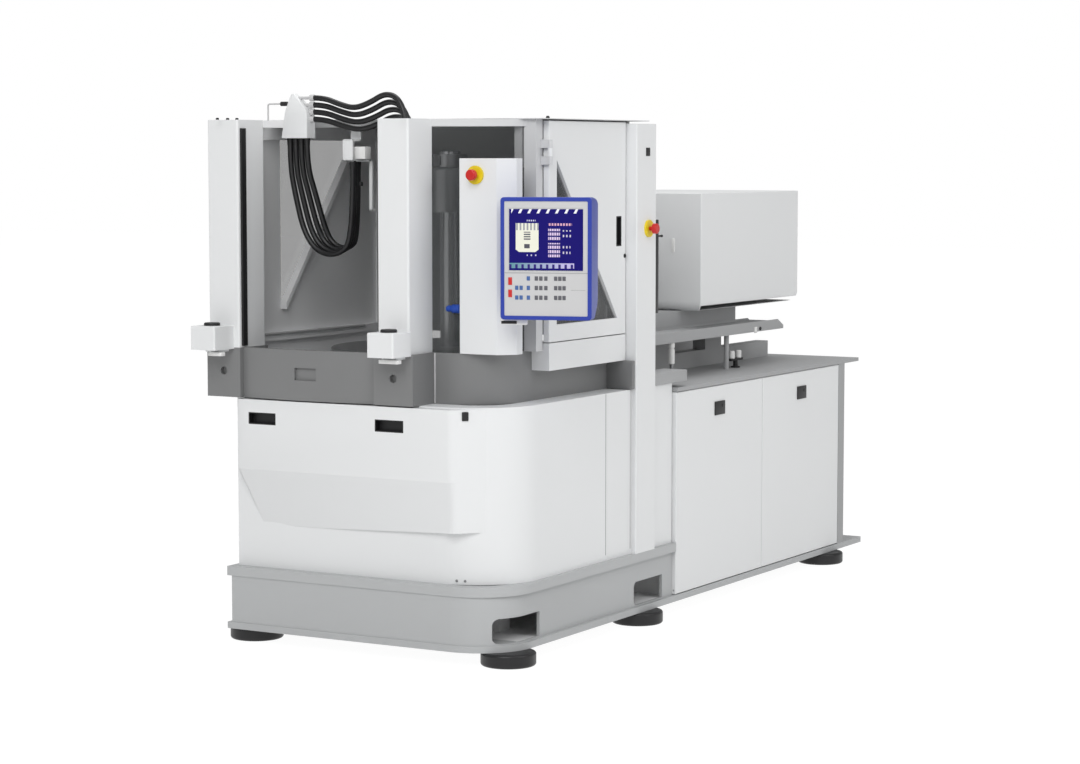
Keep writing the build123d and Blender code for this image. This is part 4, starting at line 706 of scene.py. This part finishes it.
class MACHINE_OT_hoses(bpy.types.Operator):
    """The four hanging loops and the four hoses over the top"""
    bl_idname = "machine.hoses"
    bl_label = "Hoses"

    def execute(self, context):
        rubber = materials()["black_rubber"]
        radius = context.scene.machine_sizes.hose_diameter / 2
        for kind, route_of in (("loop_hose", loop_route), ("upper_hose", over_route)):
            for index in range(HOSE_COUNT):
                self.hose(context, f"{kind}_{index + 1}", route_of(index), radius, rubber)
        return {"FINISHED"}

    def hose(self, context, node, points, radius, rubber):
        """A hose's skin as a curve, and a mesh of its middle line."""
        curve = bpy.data.curves.new(node + "_skin", "CURVE")
        curve.dimensions = "3D"
        curve.bevel_depth = radius
        curve.bevel_resolution = 5
        curve.resolution_u = 24
        curve.use_fill_caps = True
        spline = curve.splines.new("NURBS")
        spline.points.add(len(points) - 1)
        for point, where in zip(spline.points, points):
            point.co = (*place(*where), 1)
        spline.order_u = 3
        spline.use_endpoint_u = True
        obj = bpy.data.objects.new(node + "_skin", curve)
        context.scene.collection.objects.link(obj)
        curve.materials.append(rubber)
        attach(obj, "machine")
        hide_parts(node)
        centre = curve.copy()
        centre.bevel_depth = 0
        probe = bpy.data.objects.new("probe", centre)
        line = bpy.data.meshes.new_from_object(probe)
        bpy.data.objects.remove(probe)
        tuple(place(*points[0]))


# Control panel's own frame, in millimetres: x backwards, -y along its width, z up from its foot.
PANEL_FRAME = Matrix.Translation(place(46, 30, 1240)) @ Matrix.Rotation(math.radians(17), 4, "Z")
FACE_LEFT = -14
FACE_WIDTH = 298
SCREEN = {"left": 17, "right": 281, "low": 173, "high": 387, "depth": 3.05}
GLASS = 0.9
KEY_ROWS = (145, 112, 78)
KEY_COLUMNS = (44.6, 60.4, 86.3, 115, 131, 149, 184, 199, 214)
BLUE_KEYS = 3
RED_KEYS = (135, 92)
RED_KEYS_ACROSS = 21

# Blocks on the face: width, height, front, back and edge radius, after their middle's place where it is fixed.
KEY = (12, 15, 0.4, 3.2, 1.2)
RED_KEY = (14, 27, 0.2, 3.2, 1.4)
SEAM = (FACE_WIDTH / 2, 164, FACE_WIDTH - 2, 3, 1.4, 2.6, 0.5)
SHORT_LINE = (264, 105, 52, 1.4, 1.5, 2.6, 0.4)
PULL = (24, -10, 96, 22, 40, 62, 5)
PULL_GRIP = (8, -12, 56, 10, 36, 44, 2)


class MACHINE_OT_panel(bpy.types.Operator):
    """The control panel's screen, keys, seam and the pull under it"""
    bl_idname = "machine.panel"
    bl_label = "Control panel"

    def execute(self, context):
        made = materials()
        self.screen(made["screen"])
        greys = []
        blues = []
        for row, height in enumerate(KEY_ROWS):
            for column, across in enumerate(KEY_COLUMNS):
                if row == 0 and column < 2:
                    continue
                keys = blues if column < BLUE_KEYS else greys
                keys.append(self.block(across, height, *KEY))
        reds = [self.block(RED_KEYS_ACROSS, height, *RED_KEY) for height in RED_KEYS]
        self.finish(joined(greys), "panel_keys_grey", made["key_grey"])
        self.finish(joined(blues), "panel_keys_blue", made["key_blue"])
        self.finish(joined(reds), "panel_keys_red", made["red_plastic"])
        lines = joined([self.block(*SEAM), self.block(*SHORT_LINE)])
        self.finish(lines, "panel_lines", made["grey_paint"])
        self.finish(self.block(*PULL), "panel_pull", made["bright_white"])
        self.finish(self.block(*PULL_GRIP), "panel_pull_grip", made["black_plastic"])
        return {"FINISHED"}

    def block(self, across, height, width, tall, front, back, radius):
        """A rounded block on the face: its middle from the face's left edge, its size and its depth."""
        low = Vector((front, FACE_LEFT - across - width / 2, height - tall / 2)) / 1000
        high = Vector((back, FACE_LEFT - across + width / 2, height + tall / 2)) / 1000
        return rounded_block(low, high, radius / 1000, 2)

    def finish(self, obj, name, material):
        """Moves a piece from the panel's frame to its place."""
        obj.matrix_world = PANEL_FRAME @ obj.matrix_world
        settle(obj, name, material, "panel")

    def screen(self, material):
        """A thin glass with the display's picture on its own UV map."""
        width = (SCREEN["right"] - SCREEN["left"]) / 1000
        height = (SCREEN["high"] - SCREEN["low"]) / 1000
        start_clean()
        bpy.ops.mesh.primitive_plane_add(size=1)
        obj = bpy.context.active_object
        obj.scale = (width, height, 1)
        bpy.ops.object.transform_apply(location=False, rotation=False, scale=True)
        bpy.ops.object.mode_set(mode="EDIT")
        bpy.ops.mesh.select_all(action="SELECT")
        bpy.ops.mesh.extrude_region_move(TRANSFORM_OT_translate={"value": (0, 0, -GLASS / 1000)})
        bpy.ops.mesh.select_all(action="SELECT")
        bpy.ops.mesh.normals_make_consistent(inside=False)
        bpy.ops.object.mode_set(mode="OBJECT")
        turn = Matrix(((0, 0, -1, 0), (-1, 0, 0, 0), (0, 1, 0, 0), (0, 0, 0, 1)))
        across = FACE_LEFT - (SCREEN["left"] + SCREEN["right"]) / 2
        middle = Vector((SCREEN["depth"], across, (SCREEN["low"] + SCREEN["high"]) / 2))
        obj.matrix_world = PANEL_FRAME @ Matrix.Translation(middle / 1000) @ turn
        settle(obj, "panel_screen", material, "panel")


# The housing's outline at each depth behind the face: depth, left, right, low, high, corner radius.
HOUSING = (
    (12, -312, -14, 14, 414, 4),
    (0, -312, -14, 14, 414, 4),
    (0, -324, -2, 2, 426, 10),
    (2, -326, 0, 0, 428, 12),
    (60, -326, 0, 0, 428, 12),
    (104, -325, -4, 34, 424, 14),
    (126, -323, -10, 66, 418, 16),
    (129, -318, -16, 72, 412, 14),
)

# The swivel lugs: the low and high end of each, and their outline from above.
LUGS = ((134, 159.7), (230.3, 256))
LUG_FRONT = 120
LUG_BACK = 174
LUG_MIDDLE = -112
LUG_RADIUS = 24
LUG_STEPS = 12


class MACHINE_OT_housing(bpy.types.Operator):
    """The control panel's moulded housing with its two swivel lugs"""
    bl_idname = "machine.housing"
    bl_label = "Panel housing"

    def execute(self, context):
        rings = []
        for depth, left, right, low, high, radius in HOUSING:
            outline = rounded_rectangle(left, right, low, high, radius)
            rings.append([Vector((depth, across, up)) / 1000 for across, up in outline])
        pieces = [lofted(rings)]
        for low, high in LUGS:
            pieces.append(self.lug(low, high))
        housing = joined(pieces)
        housing.matrix_world = PANEL_FRAME @ housing.matrix_world
        settle(housing, "panel_shell", materials()["blue_plastic"], "panel")
        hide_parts("panel_housing")
        return {"FINISHED"}

    def lug(self, low, high):
        """A lug with a round end, which the swivel pin goes into."""
        outline = []
        for step in range(LUG_STEPS + 1):
            angle = math.pi * (step / LUG_STEPS - 0.5)
            outline.append((LUG_BACK + LUG_RADIUS * math.cos(angle), LUG_MIDDLE + LUG_RADIUS * math.sin(angle)))
        outline += [(LUG_FRONT, LUG_MIDDLE + LUG_RADIUS), (LUG_FRONT, LUG_MIDDLE - LUG_RADIUS)]
        rings = [[Vector((x, y, z)) / 1000 for x, y in outline] for z in (low, high)]
        return lofted(rings)


# The apron's outline from above, the same at its top and its crease, then the place of each point at its foot.
APRON_PLAN = (
    (-2, 1122), (3, 1135), (16, 1140), (60, 1140), (130, 700), (150, 240), (128, 88), (110, 104), (60, 150),
    (22, 186), (6, 203), (0, 214), (-2, 226),
)
APRON_FOOT = (
    (52, 1050, 440), (55, 1052, 440), (58, 1054, 440), (70, 1054, 440), (130, 700, 450), (150, 240, 466),
    (128, 90, 474), (110, 106, 474), (62, 152, 474), (26, 190, 474), (14, 208, 474), (16, 226, 472), (30, 262, 470),
)
APRON_TOP_Z = 915
APRON_CREASE_Z = 656

# The two recesses for the handles, by where each starts along the front.
HANDLE_STARTS = (405, 962)
HANDLE = {"front": -20, "back": 28.5, "width": 122, "low": 824, "high": 868}

# The latch on the apron's slanted corner: low and high corner in metres, its place, its turn in degrees.
APRON_LATCH = ((-0.012, -0.004, -0.016), (0.012, 0.006, 0.016))
APRON_LATCH_PLACE = (38, 170.6, 892)
APRON_LATCH_TURN = -43


# How close to a height counts as on it, in metres.
SAME_HEIGHT = 0.0005


class MACHINE_OT_apron(bpy.types.Operator):
    """The bulged front apron, which wraps the near corner and slants back over the knee space"""
    bl_idname = "machine.apron"
    bl_label = "Front apron"

    def execute(self, context):
        top = [place(x, y, APRON_TOP_Z) for x, y in APRON_PLAN]
        crease = [place(x, y, APRON_CREASE_Z) for x, y in APRON_PLAN]
        foot = [place(*point) for point in APRON_FOOT]
        apron = lofted([top, crease, foot])
        for start in HANDLE_STARTS:
            low = place(HANDLE["front"], start, HANDLE["low"])
            cut_by(apron, low, place(HANDLE["back"], start + HANDLE["width"], HANDLE["high"]))
        settle(apron, "apron_shell", materials()["white_paint"], "machine", 40)
        self.sharpen(apron, APRON_CREASE_Z / 1000)
        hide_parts("front_apron")
        latch = rounded_block(*APRON_LATCH, 0.003)
        latch.rotation_euler = (0, 0, math.radians(APRON_LATCH_TURN))
        latch.location = place(*APRON_LATCH_PLACE)
        settle(latch, "apron_latch", materials()["black_plastic"], "machine")
        return {"FINISHED"}

    def sharpen(self, obj, height):
        """Leaves the fold at a height crisp."""
        for edge in obj.data.edges:
            ends = [obj.data.vertices[index].co.z for index in edge.vertices]
            edge.use_edge_sharp = edge.use_edge_sharp or max(abs(end - height) for end in ends) < SAME_HEIGHT


# Small rounded blocks: name, body, finish, low corner, high corner, edge radius.
BLOCKS = (
    ("column_vent", "machine", "black_plastic", (1092, -2.5, 1811), (1124, 4, 1843), 2),
    ("column_seal", "machine", "black_rubber", (1180, 2, 1204), (1206, 14, 1566), 2),
    ("bed_lever", "machine", "bright_white", (186, 262, 1128), (204, 276, 1204), 4),
    ("far_box_tab", "machine", "bright_white", (-84, 1146, 1077), (-56, 1206, 1091), 2),
    ("near_box_tab", "machine", "bright_white", (-84, 376, 1077), (-56, 456, 1091), 2),
    # Painted highlight: a pale strip on the band's step stands in for the glint on its edge.
    ("band_step_highlight", "machine", "light_plastic", (146, 362.5, 922), (154, 367, 1104), 1.2),
    ("cover_handle", "injection_unit", "bright_white", (2076, 374, 1406), (2082, 388, 1464), 2),
    ("side_trough", "machine", "grey_paint", (1181, 6, 921), (1466, 112, 966), 2.5),
    # Painted shadow: a grey strip on the base's side stands in for the shadow line of a seam.
    ("base_seam_shadow", "machine", "grey_paint", (807.5, 18.8, 306), (810.5, 20.6, 918), 0.4),
    ("base_joint", "machine", "light_plastic", (1004, 18.8, 306), (1014, 20.6, 918), 0.4),
    ("table_clamp_bar", "machine", "black_plastic", (2330, 224, 932), (2446, 246, 942), 2),
    ("tray_clip", "machine", "bright_white", (2514, 199, 1044), (2536, 206, 1070), 2),
    ("bracket_block", "machine", "bright_white", (322, 776, 1800), (362, 832, 1846), 2),
    ("band_end", "machine", "cast_band", (996, 6, 922), (1018.5, 119, 1031), 3),
    ("bracket_plug", "machine", "black_plastic", (330, 800, 1700), (346, 812, 1716), 3),
    ("door_post_switch", "machine", "black_plastic", (424, 69, 1790), (440, 78, 1840), 2),
)

# Turned pieces: name, body, finish, centre, axis, steps of radius and height.
UP = (0, 0, 1)
INWARD = (0, 1, 0)
OUTWARD = (0, -1, 0)
DOWN = (0, 0, -1)
CAP = ((6, 0), (6, 5), (4.5, 7))
KNOB = ((11, 0), (13, 3), (13, 30), (10, 34))
SCREW = ((5, 0), (5, 2), (3.6, 3.4), (2.4, 3.4), (2.4, 1.4))
TURNED = (
    ("far_cap_a", "machine", "black_plastic", (-32, 1190, 1944), UP, CAP),
    ("far_cap_b", "machine", "black_plastic", (12, 1176, 1944), UP, CAP),
    ("far_cap_c", "machine", "black_plastic", (34, 1150, 1944), UP, CAP),
    ("near_cap", "machine", "black_plastic", (-34, 392, 1944), UP, CAP),
    ("post_cap", "machine", "black_plastic", (436, 60, 1944), UP, ((7, 0), (7, 6), (5, 12))),
    ("base_screw_a", "machine", "steel", (53, 216, 299), (-235, -44, 0), SCREW),
    ("base_screw_b", "machine", "steel", (61, 186, 299), (-227, -74, 0), SCREW),
    ("door_lock", "door", "black_plastic", (1004, 45, 1432), OUTWARD,
     ((8, 0), (8, 2), (6, 3.4), (3, 3.4), (3, 1))),
    ("table_clamp_stem", "machine", "black_plastic", (2390, 235, 901), UP,
     ((20, 0), (20, 6), (10, 8), (10, 32))),
    ("table_knob_a", "machine", "bright_white", (2354, 235, 941), UP, KNOB),
    ("table_knob_b", "machine", "bright_white", (2420, 235, 941), UP, KNOB),
    ("tray_clip_pin", "machine", "black_plastic", (2575, 205.5, 1060), OUTWARD, ((8, 0), (8, 3), (5, 6))),
    ("tray_stand", "machine", "steel", (1742, 216, 901), UP, ((26, 0), (26, 5), (8, 7), (8, 148))),
    ("tray_sleeve", "machine", "bright_white", (1742, 216, 960), UP,
     ((9, 0), (13, 2), (13, 60), (10, 62), (10, 66), (13, 68), (13, 86), (9, 88))),
    ("seal_lever", "machine", "black_plastic", (1206, 8, 1502), (1, 0, 0),
     ((5, 0), (4, 6), (3.5, 26), (5, 30), (5, 38), (3, 40))),
    ("bed_valve", "machine", "soft_blue", (200, 284, 1262), INWARD,
     ((9, 0), (16, 4), (16, 34), (12, 40), (12, 58), (8, 62))),
    ("bed_valve_nut", "machine", "bright_white", (200, 260, 1262), INWARD,
     ((11, 0), (13, 3), (13, 16), (10, 20), (10, 26))),
)

# Bent rods: name, body, finish, radius, points. Their corners are this far round, in metres.
ROD_BEND = 0.02
RODS = (
    ("hood_frame", "machine", "light_plastic", 3.4, ((300, 1199, 1940), (300, 1199, 2007), (300, 1120, 2007))),
    ("far_wall_rail", "machine", "light_plastic", 5, ((250, 1218, 1134), (980, 1218, 1132))),
)

# The wide cabinet latches: each one's cover and middle, then the sides of its plate in millimetres, and the steps
# of radius and height in metres that its lock and stem are turned from.
CABINET_LATCHES = (("front", 1752), ("rear", 2565.5))
LATCH_FACE = -3
LATCH_BACK = 1.7
LATCH_HALF = 46
LATCH_LOW = 762
LATCH_HIGH = 818
LATCH_MIDDLE = 790
LOCK_PLACE = (22, 798)
LOCK = ((0.008, -0.001), (0.008, 0.0008), (0.006, 0.0014))
STEM = ((0.02, 0.0), (0.02, 0.021))


class MACHINE_OT_fittings(bpy.types.Operator):
    """Caps, screws, latches, seals and levers over the machine"""
    bl_idname = "machine.fittings"
    bl_label = "Small fittings"

    def execute(self, context):
        made = materials()
        for name, body, finish, low, high, radius in BLOCKS:
            obj = rounded_block(place(*low), place(*high), radius / 1000, 2)
            settle(obj, name, made[finish], body)
        for name, body, finish, centre, axis, steps in TURNED:
            steps = [(radius / 1000, height / 1000) for radius, height in steps]
            settle(turned(steps, axis, place(*centre)), name, made[finish], body)
        for name, body, finish, radius, points in RODS:
            obj = bent_rod([place(*point) for point in points], radius / 1000, ROD_BEND)
            settle(obj, name, made[finish], body)
        for end, along in CABINET_LATCHES:
            self.cabinet_latch(end, along, made["black_plastic"])
        return {"FINISHED"}

    def cabinet_latch(self, end, along, material):
        """A wide latch with a small lock, on the stem that turns in its cover."""
        low = place(along - LATCH_HALF, LATCH_FACE, LATCH_LOW)
        plate = rounded_block(low, place(along + LATCH_HALF, LATCH_BACK, LATCH_HIGH), 0.002)
        lock = turned(LOCK, OUTWARD, place(along + LOCK_PLACE[0], LATCH_FACE, LOCK_PLACE[1]), 24)
        stem = turned(STEM, INWARD, place(along, 1, LATCH_MIDDLE), 48)
        latch = settle(joined([plate, lock, stem]), f"wide_latch_{end}", material, f"{end}_latch")
        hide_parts(f"cover_latch_{end}")


# The hood at each height: z, low x, high x, near y, far y, corner radius.
HOOD_RINGS = (
    (1878, 270, 330, 1002, 1118, 4),
    (1884, 270, 330, 1002, 1117.6, 4),
    (1968, 272, 328, 1004, 1105, 4),
    (1988, 274, 326, 1012, 1101, 4),
    (2040, 286, 314, 1066, 1086, 4),
    (2044, 288, 312, 1070, 1084, 3),
)

# The bracket's strips and the manifold: low and high corner.
HOLDER_BLOCKS = (
    ((298, 816, 1790), (402, 860, 1798)),
    ((298, 816, 1790), (306, 860, 1874)),
    ((298, 816, 1866), (360, 860, 1874)),
    ((352, 816, 1866), (360, 860, 1944)),
    ((390, 792, 1605), (402, 804, 1798)),
    ((390, 792, 1790), (402, 816, 1798)),
    ((390, 792, 1605), (422, 804, 1613)),
    ((158, 493, 1730), (321, 544, 1790)),
)


class MACHINE_OT_holder(bpy.types.Operator):
    """The hoses' tapered hood, the bent bracket and the block behind the near column"""
    bl_idname = "machine.holder"
    bl_label = "Hose holder"

    def execute(self, context):
        edge = context.scene.machine_sizes.edge_radius
        rings = []
        for z, x0, x1, y0, y1, radius in HOOD_RINGS:
            rings.append([place(x, y, z) for x, y in rounded_rectangle(x0, x1, y0, y1, radius, 4)])
        pieces = [lofted(rings)]
        pieces += [rounded_block(place(*low), place(*high), edge, 2) for low, high in HOLDER_BLOCKS]
        holder = joined(pieces)
        settle(holder, "hose_holder", materials()["white_paint"], "machine")
        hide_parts("hose_fittings")
        return {"FINISHED"}


# Turned pieces at the hoses' ends: steps of radius and height in metres. The higher an upper hose lies, the
# further back in the hood its pipe starts.
PIPE_STARTS = (-0.060, -0.030, -0.006, -0.006)
PIPE_RADIUS = 0.006
SLEEVE = ((0.006, -0.004), (0.0124, -0.002), (0.0124, 0.014), (0.0112, 0.016))
FERRULE = ((0.0122, -0.004), (0.0122, 0.012), (0.0114, 0.014), (0.0114, 0.026))
PLUG = ((0.0085, 0), (0.0085, 0.028), (0.006, 0.032))
PLUG_PLACE = (300, 1138, 2007)


class MACHINE_OT_hose_ends(bpy.types.Operator):
    """Pipes and ferrules of the upper hoses at the hood, ferrules of the loops and the plugged connection"""
    bl_idname = "machine.hose_ends"
    bl_label = "Hose ends"

    def execute(self, context):
        made = materials()
        sleeves = []
        for index, start in enumerate(PIPE_STARTS):
            steps = ((PIPE_RADIUS, start), *SLEEVE)
            sleeves.append(turned(steps, OUTWARD, place(*over_route(index)[0]), 24))
        settle(joined(sleeves), "upper_hose_sleeves", made["light_plastic"], "machine")
        ferrules = []
        for index in range(HOSE_COUNT):
            for end in (0, -1):
                ferrules.append(turned(FERRULE, DOWN, place(*loop_route(index)[end]), 24))
        settle(joined(ferrules), "loop_hose_ferrules", made["black_plastic"], "machine")
        plug = turned(PLUG, OUTWARD, place(*PLUG_PLACE), 24)
        settle(plug, "hood_plug", made["black_plastic"], "machine")
        return {"FINISHED"}


# Pieces of the frame whose finish isn't the one of their material slot.
SPECIAL_FINISHES = {
    # The bed skirt's finish has painted light on its inner face.
    "bed_skirt": "lined_cast",
    "door_sill": "white_paint",
    # The guard frame's and the roof plate's finish has painted light on the far wall.
    "guard_frame": "frame_paint",
    # The rear wall's finish has painted shade on its inner face.
    "rear_wall": "lined_wall",
    "roof_plate": "frame_paint",
}


class MACHINE_OT_finishes(bpy.types.Operator):
    """The finish of every piece of the frame"""
    bl_idname = "machine.finishes"
    bl_label = "Finishes"

    def execute(self, context):
        made = materials()
        for part in frame["record"]["subparts"]:
            node = frame["nodes"][part["node"]]
            finish = SPECIAL_FINISHES.get(part["node"], part["material_slot"])
            node.data.materials.clear()
            node.data.materials.append(made[finish])
        return {"FINISHED"}


CLASSES = (
    MachineSizes, MachineColours, MACHINE_OT_stage, MACHINE_OT_finishes, MACHINE_OT_hoses, MACHINE_OT_housing,
    MACHINE_OT_panel, MACHINE_OT_apron, MACHINE_OT_fittings, MACHINE_OT_holder, MACHINE_OT_hose_ends,
)
STEPS = ("stage", "finishes", "hoses", "housing", "panel", "apron", "fittings", "holder", "hose_ends")


class MACHINE_PT_sidebar(bpy.types.Panel):
    """Lists the steps that dress the machine"""
    bl_idname = "MACHINE_PT_sidebar"
    bl_label = "Moulding machine"
    bl_space_type = "VIEW_3D"
    bl_region_type = "UI"
    bl_category = "Moulding"

    def draw(self, context):
        layout = self.layout
        for group in (context.scene.machine_sizes, context.scene.machine_colours):
            for key in group.__annotations__:
                layout.prop(group, key)
        for step in STEPS:
            layout.operator("machine." + step)


def register():
    """Adds the operators, the panel and the two groups of settings."""
    for cls in CLASSES:
        bpy.utils.register_class(cls)
    bpy.utils.register_class(MACHINE_PT_sidebar)
    bpy.types.Scene.machine_sizes = bpy.props.PointerProperty(type=MachineSizes)
    bpy.types.Scene.machine_colours = bpy.props.PointerProperty(type=MachineColours)


def unregister():
    """Takes them away again."""
    del bpy.types.Scene.machine_sizes
    del bpy.types.Scene.machine_colours
    bpy.utils.unregister_class(MACHINE_PT_sidebar)
    for cls in reversed(CLASSES):
        bpy.utils.unregister_class(cls)


def main():
    """Runs every step in its order."""
    register()
    for step in STEPS:
        getattr(bpy.ops.machine, step)()


if __name__ == "__main__":
    main()
